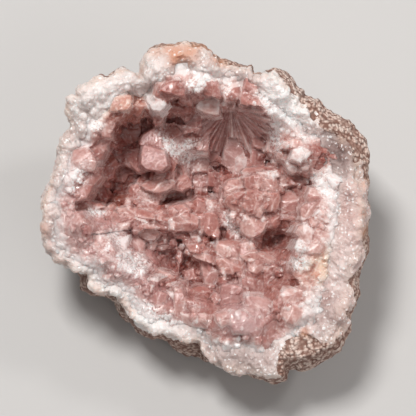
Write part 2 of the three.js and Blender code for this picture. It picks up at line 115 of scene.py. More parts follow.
RIM_INSET = [
    [0, 1.8], [15, 4.0], [30, 5.5], [45, 5.5], [58, 3.0], [70, 1.5], [97, 2.0], [112, 1.2], [130, 0.8],
    [200, 0.7], [240, 0.8], [270, 1.0], [290, 1.6], [305, 3.6], [318, 3.2], [335, 2.2],
]
RIM_LIFT = [
    [0, 1], [30, -2], [45, -1], [60, 1], [80, 0], [97, 4.5], [108, 4.5], [116, 1.5], [130, 3.5], [142, 3],
    [150, 0], [180, 0], [200, -2], [225, -3], [245, -3], [265, -2], [285, 1], [300, 2], [320, 3], [340, 2],
]
MOUTH_RADIUS = [
    [0, 32], [20, 35], [45, 36], [60, 36], [80, 37], [97, 37], [110, 37], [125, 39], [140, 39], [155, 37],
    [175, 38], [190, 36], [205, 31], [225, 28], [245, 28], [265, 28], [280, 31], [300, 34], [320, 33],
    [340, 30],
]
RIM_DROP = [
    [0, 5], [30, 3], [60, 2], [97, 3], [140, 2], [170, 2.5], [210, 3.5], [250, 4], [280, 4], [310, 5],
    [335, 6],
]
# The share of the rim's width that the crystal crust leaves bare.
RIM_BARE = [
    [0, 0.34], [30, 0.45], [50, 0.6], [65, 0.38], [85, 0.28], [97, 0.38], [108, 0.45], [118, 0.7],
    [135, 0.72], [145, 0.55], [155, 0.22], [185, 0.15], [205, 0.14], [230, 0.2], [265, 0.24], [290, 0.34],
    [315, 0.42], [345, 0.34],
]
# Rises and dips of the broken rim: [u, v, half width, half height, turn in degrees, rise].
RIM_FORMS = [
    [-13.5, 40.0, 4.0, 6.0, 10, 1.6], [0.0, 40.5, 4.5, 3.0, 0, 1.8], [-6.5, 42.0, 3.0, 2.6, 0, -1.6],
    [-22.0, 37.5, 5.5, 3.2, 15, 1.6], [-33.0, 33.0, 5.0, 4.0, 45, 1.0], [-34.5, 30.0, 4.5, 1.0, -45, -1.4],
    [20.0, 35.5, 4.0, 4.5, 0, 1.4], [37.0, 24.0, 3.5, 4.0, -40, -1.6], [34.5, 12.0, 3.5, 2.6, 20, 1.6],
    [20.0, -42.0, 3.6, 4.0, 0, 1.5], [31.0, -39.0, 3.5, 3.0, 0, -1.2],
]


def around(table, angle):
    """A table's value at an angle in degrees, eased from each entry to the next by half a cosine wave."""
    at, value = np.array(table, float).T
    after = np.searchsorted(at, np.mod(angle, 360), side="right") % len(at)
    before = after - 1
    share = np.mod(angle - at[before], 360) / np.mod(at[after] - at[before], 360)
    return value[before] + (value[after] - value[before]) * (1 - np.cos(np.pi * share)) / 2


def lumps(p, size):
    """Seven sine waves of one length, their directions spread over a sphere by the golden angle, added up."""
    k = np.arange(1, 8)
    z = 1 - (2 * k - 1) / 7
    turn = k * np.pi * (3 - math.sqrt(5))
    across = np.sqrt(1 - z * z)
    directions = np.stack([across * np.cos(turn), across * np.sin(turn), z])
    return np.sin(p @ directions * 2 * np.pi / size + 1.7 * k).sum(-1) / math.sqrt(7)


def hashed(cell, salt):
    """A repeatable number from 0 to 1 for each whole-numbered cell, from multiplied and shifted bits."""
    n = (cell * np.array([73856093, 19349663, 83492791])).sum(-1) + salt * 40503
    n = (n ^ (n >> 13)) * 1274126177 & 0xFFFFFFFF
    n = (n ^ (n >> 16)) * 2246822519 & 0xFFFFFFFF
    return (n ^ (n >> 15)) / 2**32


def noise(p, size, salt=0):
    """Value noise from -1 to 1: a random number at each corner of a cubic grid, blended with an S curve."""
    q = p / size
    cell = np.floor(q).astype(np.int64)
    f = q - cell
    f = f * f * (3 - 2 * f)
    total = 0
    for corner in np.ndindex(2, 2, 2):
        weight = np.prod(np.where(corner, f, 1 - f), -1)
        total = total + weight * hashed(cell + corner, salt)
    return 2 * total - 1


def rough(p, size, octaves, salt=0):
    """Octaves of noise, each half the size and half the height of the one before."""
    return sum(noise(p, size / 2**k, salt + k) / 2**k for k in range(octaves))


def grains(p, size, salt=0):
    """Round grains from 0 to 1: one less the squared distance to the nearest of one random point per cell."""
    q = p / size
    cell = np.floor(q).astype(np.int64)
    nearest = np.full(q.shape[:-1], 9.0)
    for step in np.ndindex(3, 3, 3):
        other = cell + step - 1
        point = other + np.stack([hashed(other, salt + k) for k in (1, 2, 3)], -1)
        nearest = np.minimum(nearest, ((q - point) ** 2).sum(-1))
    return 1 - np.minimum(nearest, 1)


def facets(p, size, salt=0):
    """Cubes grown together. Over each cell's random point lies a cube turned at random, whose height falls
    with the largest of the three distances along its axes, and the highest cube shows. Returns that height,
    from about 0 to 1, and how far the point is from the nearest edge between two faces or two cubes."""
    q = p / size
    cell = np.floor(q).astype(np.int64)
    highest, second, inset = (np.full(q.shape[:-1], -9.0) for _ in range(3))
    for step in np.ndindex(3, 3, 3):
        other = cell + step - 1
        r = [hashed(other, salt + k) for k in range(6)]
        away = q - other - np.stack(r[:3], -1)
        tilt, turn = np.arccos(2 * r[3] - 1), 2 * np.pi * r[4]
        a = np.stack([np.sin(tilt) * np.cos(turn), np.sin(tilt) * np.sin(turn), np.cos(tilt)], -1)
        b = np.stack([-np.sin(turn), np.cos(turn), 0 * turn], -1)
        c = np.cross(a, b)
        reach = np.sort(np.abs(np.stack([(away * e).sum(-1) for e in (a, b, c)])), 0)
        height = 0.75 + 0.3 * r[5] - reach[2]
        higher = height > highest
        second = np.where(higher, highest, np.maximum(second, height))
        inset = np.where(higher, reach[2] - reach[1], inset)
        highest = np.maximum(highest, height)
    return np.maximum(highest, 0), size * np.minimum(inset, highest - second)


def bumps(u, v, forms):
    """Smooth mounds added up. Each is its rise times exp(-0.8 d^3), with d the distance in half widths."""
    total = 0
    for centre_u, centre_v, half_u, half_v, turn, rise in forms:
        c, s = math.cos(math.radians(turn)), math.sin(math.radians(turn))
        x = ((u - centre_u) * c + (v - centre_v) * s) / half_u
        y = ((v - centre_v) * c - (u - centre_u) * s) / half_v
        total = total + rise * np.exp(-0.8 * (x * x + y * y) ** 1.5)
    return total


def polar(angle, radius, w):
    """A point from its angle in degrees, its distance from the mouth's axis and its height."""
    a = np.radians(angle)
    return np.stack(np.broadcast_arrays(radius * np.cos(a), radius * np.sin(a), w), -1)


def mix(a, b, share):
    """From a to b by a share from 0 to 1."""
    return a + (b - a) * share


def smooth(x, low, high):
    """0 below low, 1 above high, and an S curve between them."""
    x = np.clip((x - low) / (high - low), 0, 1)
    return x * x * (3 - 2 * x)


def rind(angle, t):
    """The nodule's outside from the middle of its back, t = 0, to the rim, t = 1: an ellipse of revolution
    whose radius follows the outline, with the large knobs of lumps(), and a short turn inwards above the
    widest ring."""
    radius, lift = around(OUTLINE, angle), around(RIM_LIFT, angle)
    widest = lift - WIDEST_DEPTH
    rise = np.minimum(t / WIDEST_AT, 1) * np.pi / 2
    faded = mix(BACK_RADIUS, radius, np.minimum(t / WIDEST_AT, 1) ** 2)
    p = polar(angle, faded * np.sin(rise) ** 0.9, widest - (BACK_DEPTH + widest) * np.cos(rise))
    out = p - np.stack(np.broadcast_arrays(0, 0, widest), -1)
    out = out / np.linalg.norm(out, axis=-1, keepdims=True)
    fade = 1 - np.minimum(t / WIDEST_AT, 1) ** 6
    p = p + out * (RIND_LUMP * fade * (2 * np.abs(lumps(p, RIND_LUMP_SIZE)) - 1))[..., None]
    q = np.clip((t - WIDEST_AT) / (1 - WIDEST_AT), 0, 1)
    top = polar(angle, radius - around(RIM_INSET, angle) * q * q, mix(widest, lift, q))
    return np.where((t > WIDEST_AT)[..., None], top, p)


def rock(angle, t):
    """The inside from the rim's outer edge, t = 0, to the middle of the hollow, t = 1: a crowned, lumpy rim
    that slopes down to the mouth's radius, and from there a quarter of an ellipse down to the floor."""
    lift = around(RIM_LIFT, angle)
    edge = around(OUTLINE, angle) - around(RIM_INSET, angle)
    mouth = around(MOUTH_RADIUS, angle)
    mouth_height = lift - around(RIM_DROP, angle)
    q = np.minimum(t / RIM_SHARE, 1)
    rim = polar(angle, mix(edge, mouth, q), mix(lift, mouth_height, q * q))
    swell = RIM_CROWN + RIM_LUMP * lumps(rim * (1, 1, 0), RIM_LUMP_SIZE)
    rim[..., 2] += swell * np.sin(np.pi * np.sqrt(q))
    dive = np.clip((t - RIM_SHARE) / (1 - RIM_SHARE), 0, 1) * np.pi / 2
    depth = (FLOOR_DEPTH + mouth_height) * np.sin(dive) ** 1.1
    wall = polar(angle, mouth * np.cos(dive) ** 0.8, mouth_height - depth)
    return np.where((t > RIM_SHARE)[..., None], wall, rim)


def grid_normals(p):
    """Unit normals of a closed polar grid: the differences round it crossed with those along it."""
    around_it = np.roll(p, -1, 1) - np.roll(p, 1, 1)
    along = np.gradient(p, axis=0)
    n = np.cross(around_it, along)
    return n / np.maximum(np.linalg.norm(n, axis=-1, keepdims=True), 1e-9)


def new_piece(name, points, corners, sizes, marks, materials):
    """A mesh from points in mouth millimetres, its faces' corners in one row and the number of corners of
    each. marks are per-point attributes of four numbers. No point may leave the solid geode's box."""
    low, high = (np.array(end) for end in cad_box)
    world = np.clip(stand(points), low + BOX_MARGIN, high - BOX_MARGIN)
    mesh = bpy.data.meshes.new(name)
    mesh.vertices.add(len(world))
    mesh.vertices.foreach_set("co", world.ravel())
    mesh.loops.add(len(corners))
    mesh.loops.foreach_set("vertex_index", np.asarray(corners, np.int32))
    mesh.polygons.add(len(sizes))
    starts = np.concatenate([[0], np.cumsum(sizes)[:-1]])
    mesh.polygons.foreach_set("loop_start", starts.astype(np.int32))
    mesh.update(calc_edges=True)
    mesh.shade_flat()
    for mark, values in marks.items():
        layer = mesh.attributes.new(mark, "FLOAT_COLOR", "POINT")
        layer.data.foreach_set("color", np.asarray(values, np.float32).ravel())
    for material in materials:
        mesh.materials.append(material)
    piece = bpy.data.objects.new(name, mesh)
    bpy.context.collection.objects.link(piece)
    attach(piece, "root")
    return piece


def grid_faces(rings, sectors):
    """Corners and sizes of a polar grid whose first and last rings are single points: quads between the
    rings and a fan of triangles at each end. The points run pole, ring by ring, pole."""
    i = np.arange(sectors)
    j = (i + 1) % sectors
    first = 1 + sectors * np.arange(rings - 1)[:, None]
    quads = np.stack([first + i, first + j, first + sectors + j, first + sectors + i], -1)
    start = np.stack([0 * i, 1 + j, 1 + i], -1)
    last = 1 + sectors * (rings - 1)
    end = np.stack([last + i, last + j, 0 * i + last + sectors], -1)
    corners = np.concatenate([start.ravel(), quads.ravel(), end.ravel()])
    sizes = np.concatenate([np.full(sectors, 3), np.full(quads.size // 4, 4), np.full(sectors, 3)])
    return corners, sizes


# The shell's marks: zone = (pinkness, stain, clear grey above 0 and chalky white below 0, dust) and
# grain = (height of the rind's grain, stain, nothing, nothing).
def feed(inputs, values):
    """Sets inputs of a node by name or number, or links them where the value is another node's output."""
    for key, value in values.items():
        if isinstance(value, bpy.types.NodeSocket):
            inputs[key].id_data.links.new(value, inputs[key])
        else:
            inputs[key].default_value = value


def add(tree, kind, values, **settings):
    """A shader node with its settings made and its inputs fed. Returns its outputs."""
    made = tree.nodes.new(kind)
    for name, setting in settings.items():
        setattr(made, name, setting)
    feed(made.inputs, values)
    return made.outputs


def group(name, inputs, outputs):
    """A shader node group with number or vector sockets. Returns it, what it is given and its results."""
    tree = bpy.data.node_groups.new(name, "ShaderNodeTree")
    kinds = {"value": "NodeSocketFloat", "vector": "NodeSocketVector"}
    for socket, (kind, default) in inputs.items():
        made = tree.interface.new_socket(name=socket, in_out="INPUT", socket_type=kinds[kind])
        made.default_value = default
    for socket, kind in outputs.items():
        tree.interface.new_socket(name=socket, in_out="OUTPUT", socket_type=kinds[kind])
    return tree, tree.nodes.new("NodeGroupInput").outputs, tree.nodes.new("NodeGroupOutput").inputs


def place_group(tree, which, **values):
    """A node group used in a material, its inputs fed by name. Returns its outputs."""
    return add(tree, "ShaderNodeGroup", values, node_tree=which)


def math_node(tree, operation, *values):
    """One step of arithmetic on numbers."""
    return add(tree, "ShaderNodeMath", dict(enumerate(values)), operation=operation)[0]


def vector_node(tree, operation, a, b=(0, 0, 0)):
    """One step of arithmetic on vectors. With SCALE, b is a number."""
    second = 3 if operation == "SCALE" else 1
    return add(tree, "ShaderNodeVectorMath", {0: a, second: b}, operation=operation)[0]


def remap(tree, value, low, high, to_low=0.0, to_high=1.0):
    """A number carried from one range to another and kept inside it."""
    return add(tree, "ShaderNodeMapRange", dict(enumerate((value, low, high, to_low, to_high))))[0]


def mix_colour(tree, share, a, b, how="MIX"):
    """Colour a turned into colour b, or multiplied by it, by a share from 0 to 1."""
    return add(tree, "ShaderNodeMix", {0: share, 6: a, 7: b}, data_type="RGBA", blend_type=how)[2]


def layered(tree, colour, layers):
    """A colour with layers laid over it in turn. Each is its share from 0 to 1 and its own colour."""
    for share, paint in layers:
        colour = mix_colour(tree, share, colour, paint)
    return colour


def fine_relief(tree, height, distance, strength, **normal):
    """The normal of a relief too fine for the mesh, of the height given, distance metres high at 1."""
    values = {"Height": height, "Distance": distance, "Strength": strength, **normal}
    return add(tree, "ShaderNodeBump", values)[0]


def new_material(name):
    """A material, its node tree, its shader's inputs and the place of each point in the piece."""
    material = bpy.data.materials.new(name)
    material.use_nodes = True
    tree = material.node_tree
    place = tree.nodes.new("ShaderNodeTexCoord").outputs["Object"]
    return material, tree, tree.nodes["Principled BSDF"].inputs, place


def attribute(tree, name):
    """The four numbers of a mark."""
    mark = add(tree, "ShaderNodeAttribute", {}, attribute_name=name)
    return (*add(tree, "ShaderNodeSeparateColor", {0: mark["Color"]}), mark["Alpha"])


# Mottle: clouds of one size, spread to use the whole range from 0 to 1.
PLACED = {"Place": ("vector", (0, 0, 0)), "Scale": ("value", 1000.0)}
mottle, given, result = group("mottle", PLACED, {"Cloud": "value"})
cloud = add(mottle, "ShaderNodeTexNoise", {"Vector": given["Place"], "Scale": given["Scale"], "Detail": 4})
feed(result, {"Cloud": remap(mottle, cloud["Fac"], 0.32, 0.68)})

# Glitter: small flat grains, each tipped its own way and some of them far, so that only a few glint.
glitter_inputs = {**PLACED, "Tip": ("value", 0.5), "Normal": ("vector", (0, 0, 1))}
glitter, given, result = group("glitter", glitter_inputs, {"Normal": "vector", "Grain": "value"})
cell = add(glitter, "ShaderNodeTexVoronoi", {"Vector": given["Place"], "Scale": given["Scale"]})
chance = add(glitter, "ShaderNodeSeparateColor", {0: cell["Color"]})[1]
centred = vector_node(glitter, "SUBTRACT", cell["Color"], (0.5, 0.5, 0.5))
tipped = vector_node(glitter, "SCALE", centred, given["Tip"])
loose = vector_node(glitter, "SCALE", tipped, remap(glitter, chance, 0.7, 0.9, 0.35, 2.4))
turned = vector_node(glitter, "NORMALIZE", vector_node(glitter, "ADD", loose, given["Normal"]))
feed(result, {"Normal": turned, "Grain": chance})

# Granules: round grains packed together, 1 at their tops and 0 between them, each with its own number.
granules, given, result = group("granules", PLACED, {"Height": "value", "Chance": "value"})
cell = add(granules, "ShaderNodeTexVoronoi", {"Vector": given["Place"], "Scale": given["Scale"]})
chance = add(granules, "ShaderNodeSeparateColor", {0: cell["Color"]})[0]
feed(result, {"Height": remap(granules, cell["Distance"], 0.75, 0.25), "Chance": chance})

QUARTZ_IOR = 1.54
GLITTER_SCALE = 1900.0          # grains of glitter per metre


def clouds_of(tree, place, *scales):
    """Mottle at several scales, in clouds per metre."""
    return [place_group(tree, mottle, Place=place, Scale=scale)["Cloud"] for scale in scales]


def sugary_quartz():
    """Broken quartz wall: white outside and pinker inwards, with greyish patches, glinting grains and a few
    grains painted near white as glints.
    """
    material, tree, shader, place = new_material("sugary_quartz")
    pink, stain, grey, dusty = attribute(tree, "zone")
    clouds, fine, broad = clouds_of(tree, place, 170.0, 1100.0, 75.0)
    relief = fine_relief(tree, fine, 0.0004, 0.6)
    sparkle = place_group(tree, glitter, Place=place, Scale=GLITTER_SCALE, Tip=0.32, Normal=relief)
    white = mix_colour(tree, clouds, (0.66, 0.58, 0.55, 1), (0.87, 0.83, 0.81, 1))
    pinkish = mix_colour(tree, clouds, (0.56, 0.36, 0.33, 1), (0.80, 0.66, 0.63, 1))
    colour = layered(tree, white, [
        (pink, pinkish),
        (remap(tree, broad, 0.55, 1, 0, 0.4), (0.46, 0.36, 0.33, 1)),           # faint brown clouds
        (math_node(tree, "MULTIPLY", fine, 0.2), (0.62, 0.46, 0.41, 1)),        # between the sugar grains
        (remap(tree, grey, 0, 1), (0.25, 0.165, 0.15, 1)),                      # clear, so darker
        (remap(tree, grey, 0, -1, 0, 0.75), (0.93, 0.90, 0.885, 1)),            # chalky
        (math_node(tree, "MULTIPLY", dusty, clouds), (0.60, 0.42, 0.33, 1)),    # the rind's dust
        (stain, (0.62, 0.27, 0.15, 1)),                                         # iron
        # painted glints: a few grains painted near white
        (remap(tree, sparkle["Grain"], 0.9, 0.95, 0, 0.7), (0.95, 0.93, 0.92, 1)),
    ])
    feed(shader, {
        "Base Color": colour, "Normal": sparkle["Normal"], "IOR": QUARTZ_IOR,
        "Roughness": remap(tree, sparkle["Grain"], 0.6, 0.9, 0.55, 0.2),
        "Subsurface Weight": 0.6, "Subsurface Radius": (1.0, 0.8, 0.76), "Subsurface Scale": 0.003,
    })
    return material


def granular_rind():
    """Rough iron-stained rind: grains a millimetre across, brown to cream, with dark pits between them."""
    material, tree, shader, place = new_material("granular_rind")
    lump, stain, _, _ = attribute(tree, "grain")
    clouds, fine = clouds_of(tree, place, 110.0, 1300.0)
    grain = place_group(tree, granules, Place=place, Scale=980.0)
    coarse = place_group(tree, granules, Place=place, Scale=520.0)
    height = math_node(tree, "MULTIPLY", grain["Height"], remap(tree, coarse["Height"], 0, 0.6, 0.2, 1))
    height = math_node(tree, "MULTIPLY", height, remap(tree, lump, 0, 0.6, 0.35, 1))
    brown = mix_colour(tree, clouds, (0.50, 0.29, 0.225, 1), (0.68, 0.50, 0.425, 1))
    tops = layered(tree, brown, [
        (math_node(tree, "MULTIPLY", grain["Chance"], 0.35), (0.84, 0.71, 0.64, 1)),    # cream grains
        (remap(tree, height, 0.45, 0.9, 0, 0.5), (0.88, 0.76, 0.68, 1)),                # worn tops
    ])
    colour = mix_colour(tree, remap(tree, height, 0, 0.5), (0.20, 0.095, 0.068, 1), tops)
    colour = mix_colour(tree, stain, colour, (0.66, 0.32, 0.18, 1))
    relief = fine_relief(tree, math_node(tree, "MULTIPLY_ADD", fine, 0.3, height), 0.0006, 1.0)
    feed(shader, {"Base Color": colour, "Normal": relief, "Roughness": 0.7})
    return material


quartz_wall, rind_finish = sugary_quartz(), granular_rind()

# The shell's grid, ring by ring: up the back, over the widest ring, across the rim and down the hollow.
BACK_RINGS, TURN_RINGS, RIM_RINGS, WALL_RINGS = 49, 16, 29, 8
angles = np.arange(SHELL_SECTORS) * 360 / SHELL_SECTORS
back_t = np.concatenate([
    np.linspace(0, WIDEST_AT, BACK_RINGS + 1)[1:], np.linspace(WIDEST_AT, 1, TURN_RINGS + 1)[1:],
])
rim_t = np.concatenate([
    np.linspace(0, RIM_SHARE, RIM_RINGS + 1)[1:], np.linspace(RIM_SHARE, 1, WALL_RINGS + 2)[1:-1],
])
rim_widths = rim_t / RIM_SHARE                  # the way in from the rim's outer edge, in widths of the rim
shell = np.concatenate([rind(angles[None], back_t[:, None]), rock(angles[None], rim_t[:, None])])
rim_share = np.concatenate([0 * back_t, np.minimum(rim_widths, 1)])[:, None]
shell[..., 2] += bumps(shell[..., 0], shell[..., 1], RIM_FORMS) * np.sin(np.pi * rim_share)

# How far the rind reaches: 0 is the widest ring, 1 the rim's outer edge and 2 its inner edge.
RIND_REACH = [
    [0, 0.35], [17, 0.75], [22, 0.95], [35, 0.95], [40, 0.85], [50, 0.85], [58, 0.8], [70, 0.8], [82, 0.85],
    [97, 0.9], [108, 0.7], [114, 0.4], [200, 0.3], [225, 0.6], [262, 0.6], [275, 0.5], [292, 0.8],
    [300, 1.45], [308, 1.5], [314, 1.1], [322, 0.9], [335, 0.95], [348, 0.8],
]
way = np.concatenate([(back_t - WIDEST_AT) / (1 - WIDEST_AT), 1 + rim_widths])[:, None]
ragged = rough(shell, 6.0, 3, 40)
rind_zone = smooth(around(RIND_REACH, angles)[None] - way + 0.3 * ragged, -0.04, 0.04)

# How far under the crust each point lies, in millimetres from the crust's edge, and less than 0 outside it.
rim_width = around(OUTLINE, angles) - around(RIM_INSET, angles) - around(MOUTH_RADIUS, angles)
under_crust = (np.concatenate([0 * back_t, rim_widths])[:, None] - around(RIM_BARE, angles)[None]) * rim_width

# The relief: waves all over, grains on the rind, and two sizes of facets with knobs on the broken wall.
# Deep under the crust, where nobody sees it, the wall draws back.
grain, knobs = grains(shell, 2.0, 3), grains(shell, 4.5, 60)
coarse_facets, fine_facets = facets(shell, 3.4, 5)[0], facets(shell, 1.6, 6)[0]
wall_relief = 1.6 * coarse_facets + 0.9 * fine_facets + 0.6 * knobs - 1.3
relief = 0.45 * rough(shell, 5.0, 3, 7) + mix(wall_relief, 0.9 * grain - 0.6, rind_zone)
relief = relief - 4 * smooth(under_crust, 4.0, 7.0)
shell = shell + grid_normals(shell) * relief[..., None]

# What would sink below the floor is lifted straight back onto it.
world_z = shell[..., 1] * math.sin(LEAN) + shell[..., 2] * math.cos(LEAN) + MOUTH_CENTRE[2]
sunk = np.minimum(world_z, 0)
shell[..., 1] -= sunk * math.sin(LEAN)
shell[..., 2] -= sunk * math.cos(LEAN)

# Coloured patches: [u, v, half width, half height, turn, amount]. A grey patch below 0 is chalky white.
STAINS = [
    [-7, 44.5, 8, 3.4, 0, 1.2], [3, 42, 3, 1.4, 0, 0.6], [-18, 39.5, 1.6, 1.2, 0, 0.9],
    [-29, -22, 2.0, 2.4, 0, 0.6], [-22, -24, 2, 2, 0, 0.5], [44.5, 8.5, 1.2, 1.6, 0, 0.7],
    [44, 0.5, 1.2, 1.2, 0, 0.6], [27.5, -32.2, 1.2, 1.2, 0, 0.8], [-20, -26.5, 1.5, 1.5, 0, 0.5],
    [44.5, -4.5, 1.5, 1.8, 0, 0.6], [-44.5, -4, 1.2, 1.6, 0, 0.5],
]
PINK_PATCHES = [
    [43, 0, 7, 16, 0, 0.75], [34, -26, 9, 12, 35, 0.6], [5, -38, 22, 6, -5, 0.2], [-42, -2, 5, 14, 0, 0.3],
]
# The chalky white patch at u 23, v 33 is partly painted light: whiter where the wall there faces away from
# the lamps.
GREY_PATCHES = [
    [37, 18, 6.5, 6, 0, 1.0], [12, 38, 5, 2.5, 0, 0.5], [-27, 34, 10, 5, 20, -0.4],
    [-6.5, 41, 3, 2.2, 0, 0.55], [33, -25, 4, 6, 20, 0.35], [23, 33, 10, 6, -35, -1],
    [-20, -27, 17, 5, -35, -0.9], [19, -43, 5, 4, 0, -0.2], [11, -40, 10, 4, -8, 0.5],
    [-7, 44, 6, 2.5, 0, 0.25],
]
u, v = shell[..., 0], shell[..., 1]
stain = np.clip(bumps(u, v, STAINS) * (0.6 + 0.6 * ragged) * smooth(way, -0.8, 0.6), 0, 1)
grey = np.clip(bumps(u, v, GREY_PATCHES), -1, 1)
near_crust = smooth(under_crust + 1.5 * ragged, -4, 1.5)
pinkness = np.clip(0.12 + 0.25 * near_crust + bumps(u, v, PINK_PATCHES), 0, 1)
dusty = smooth(way, 0.5, 1.0) * (1 - smooth(way, 1.0, 1.3)) * np.ones_like(u)
zone = np.stack([pinkness, stain, grey, 0.7 * dusty], -1)
grain_mark = np.stack([smooth(grain, 0.3, 0.85), stain, 0 * u, 0 * u], -1)


def with_poles(values, first, last):
    """A grid's values in one row, with one point put before it and one after."""
    flat = values.reshape(-1, values.shape[-1])
    return np.concatenate([np.reshape(first, (1, -1)), flat, np.reshape(last, (1, -1))])


shell_points = with_poles(shell, shell[0].mean(0), (0, 0, -FLOOR_DEPTH))
corners, sizes = grid_faces(len(shell), SHELL_SECTORS)
marks = {
    "zone": with_poles(zone, zone[0, 0], zone[-1, 0]),
    "grain": with_poles(grain_mark, grain_mark[0, 0], (1, 0, 0, 0)),
}
rock_piece = new_piece("quartz_bowl", shell_points, corners, sizes, marks, [rind_finish, quartz_wall])
face_rind = (rind_zone[:-1] + rind_zone[1:]) / 2
finish_number = np.concatenate([np.zeros(SHELL_SECTORS), (face_rind < 0.5).ravel(), np.ones(SHELL_SECTORS)])
rock_piece.data.polygons.foreach_set("material_index", finish_number.astype(np.int32))
rock_piece.data.polygons.foreach_set("use_smooth", finish_number == 0)
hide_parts("rock_shell")


# ---- crystal crust: pink quartz grown on the wall ----
# A layer of pink quartz three to five millimetres thick, grown on the wall and lapping over the rim's inner
# half. It swells under each cluster and sinks between them, and flat-faced crystals stand all over it,
# rooted in it.
CRUST_EDGE_THICKNESS, CRUST_THICKNESS = 0.2, 4.2
GAP = 0.5                       # between the wall and the least height of the crust's face
CRUST_CELLS = 300               # each way, over the whole crust
FULL_INSET = 5.0                # millimetres from an edge at which that mark is 1
# Swellings under the clusters and hollows between them: [u, v, half width, half height, turn, rise].
MOUNDS = [
    [13.4, 3.0, 9.0, 10.5, 0, 11], [-2.6, -3.6, 8.0, 7.0, 0, 8], [8.5, -12.5, 10.5, 6.0, 0, 8],
    [11.0, -26.0, 10.0, 8.0, 0, 5], [-13.5, 8.2, 10.0, 3.2, 22, 7], [-18.5, -1.4, 14.5, 3.8, 6, 8],
    [-14.5, 16.6, 7.5, 5.0, 0, 9], [24.5, 16.0, 6.0, 5.5, 0, 7], [28.5, -9.0, 4.0, 6.5, 0, 5],
    [-24.0, -12.0, 10.0, 6.0, -35, 4], [-3.0, 22.5, 7.0, 5.0, 0, 6],
]
PITS = [
    [-24.5, 14.5, 6.5, 9.5, -12, -8], [-3.2, 6.4, 8.5, 1.9, 0, -8], [19.0, 15.5, 2.4, 2.6, 0, -5],
    [32.0, 13.0, 2.6, 4.2, 0, -4], [21.5, -7.4, 5.0, 3.0, -20, -4], [23.8, -20.5, 3.2, 1.6, -20, -3],
    [-7.5, -13.5, 6.5, 3.4, -15, -3], [-1.5, -18.8, 5.5, 1.8, 0, -4],
]


def rock_normal(angle, t):
    """The direction that rock() faces, by central differences, and straight up at its middle."""
    t = np.minimum(t, 0.97)
    inward = rock(angle, t + 0.01) - rock(angle, np.maximum(t - 0.01, 0))
    round_it = rock(angle + 1, t) - rock(angle - 1, t)
    n = np.cross(round_it, inward)
    return n / np.linalg.norm(n, axis=-1, keepdims=True)


def crust_face(angle, s):
    """The crust's face from its edge, s = 0, to the middle of the hollow, s = 1: the rock raised along its
    normal by the crust's thickness, then moved along w by the mounds and pits, but never too thin."""
    t = mix(around(RIM_BARE, angle) * RIM_SHARE, 1, s)
    base, n = rock(angle, t), rock_normal(angle, t)
    grown = smooth(s, 0, 0.35)
    p = base + n * (GAP + mix(CRUST_EDGE_THICKNESS, CRUST_THICKNESS, grown))[..., None]
    lowest = (base + n * (GAP + CRUST_EDGE_THICKNESS))[..., 2]
    p[..., 2] = np.maximum(p[..., 2] + grown * bumps(p[..., 0], p[..., 1], MOUNDS + PITS), lowest)
    return p


def spread_over_disc(count):
    """A square grid bent into a disc with equal cells, its square rings into circles. Angle and radius."""
    a, b = np.meshgrid(*[np.linspace(-1, 1, count + 1)] * 2, indexing="ij")
    wide = np.abs(a) > np.abs(b)
    r = np.where(wide, a, b)
    safe = np.where(r == 0, 1, r)
    turn = np.where(wide, b / safe, 2 - a / safe) * np.pi / 4
    return np.degrees(np.arctan2(r * np.sin(turn), r * np.cos(turn))), np.abs(r)


def crust_grid():
    """The crust's face on that grid, evenly spread as seen from the mouth: for every degree the radius at
    each s is tabulated and read backwards, and the grid's own s is taken from that table."""
    angle, share = spread_over_disc(CRUST_CELLS)
    degrees, steps = np.arange(0, 361), np.linspace(0, 1, 300)
    face = crust_face(degrees[:, None], steps[None])
    radius = np.linalg.norm(face[..., :2], axis=-1)
    last = 199
    shares = np.linspace(0, 1, last + 1)
    back = np.array([np.interp(shares, row[::-1] / row[0], steps[::-1]) for row in radius])
    at, how = np.mod(angle, 360), share * last
    i, j = at.astype(int), np.minimum(how.astype(int), last - 1)
    x, y = at - i, how - j
    near = mix(back[i, j], back[i, j + 1], y)
    return crust_face(angle, mix(near, mix(back[i + 1, j], back[i + 1, j + 1], y), x)), share


bed, bed_share = crust_grid()
crust_u, crust_v, bed_w = (bed[..., k].ravel() for k in range(3))
by_u = np.argsort(crust_u)
sorted_u = crust_u[by_u]

# How pale the crust is: 0 brown, 0.5 salmon, 1 white. Areas: [u, v, half width, half height, turn, amount].
# The area at u -25, v 15 is painted darker, partly for the shade that falls in the pocket there.
TONES = [
    [38, 2, 8, 11, 0, 0.42], [34, 10, 5, 4, 0, 0.3], [33, -14, 9, 7, -10, 0.27], [-37, 14, 5, 13, 0, 0.08],
    [-17, -26, 14, 3.5, -35, 0.2], [12, -40, 10, 3, -10, 0.15], [-37, -6, 6, 10, 0, 0.1],
    [-27, -9, 8, 8, -30, 0.16], [-20, -13, 7, 5, -30, 0.14], [24, 16, 5, 5, 0, 0.25],
    [14, 34, 8, 4, -20, 0.05], [21.5, 30.5, 9.5, 6, -35, 0.8], [36, 18, 5.5, 5, -40, -0.8],
    [-14, -27, 9, 4, -30, 0.12], [-6, -22, 10, 6, 0, -0.34], [10, -38, 16, 4, 0, 0.2],
    [30, -26, 8, 9, 20, 0.28], [-3, 19, 6, 4, 0, 0.1], [-25, 15, 5.5, 10, -12, -0.36],
    [7.6, 24, 12, 5, 0, -0.18], [21, -7, 4.5, 4, -20, -0.12], [-10.5, -13, 6, 4, -15, -0.2],
    [-1, 6, 8, 2, 0, -0.4], [25, 9, 4, 3, 0, -0.05], [20, -33, 4, 5, 0, -0.15], [0, -30, 14, 5, -10, -0.04],
    [2, 39, 10, 4, 0, 0.1],
]
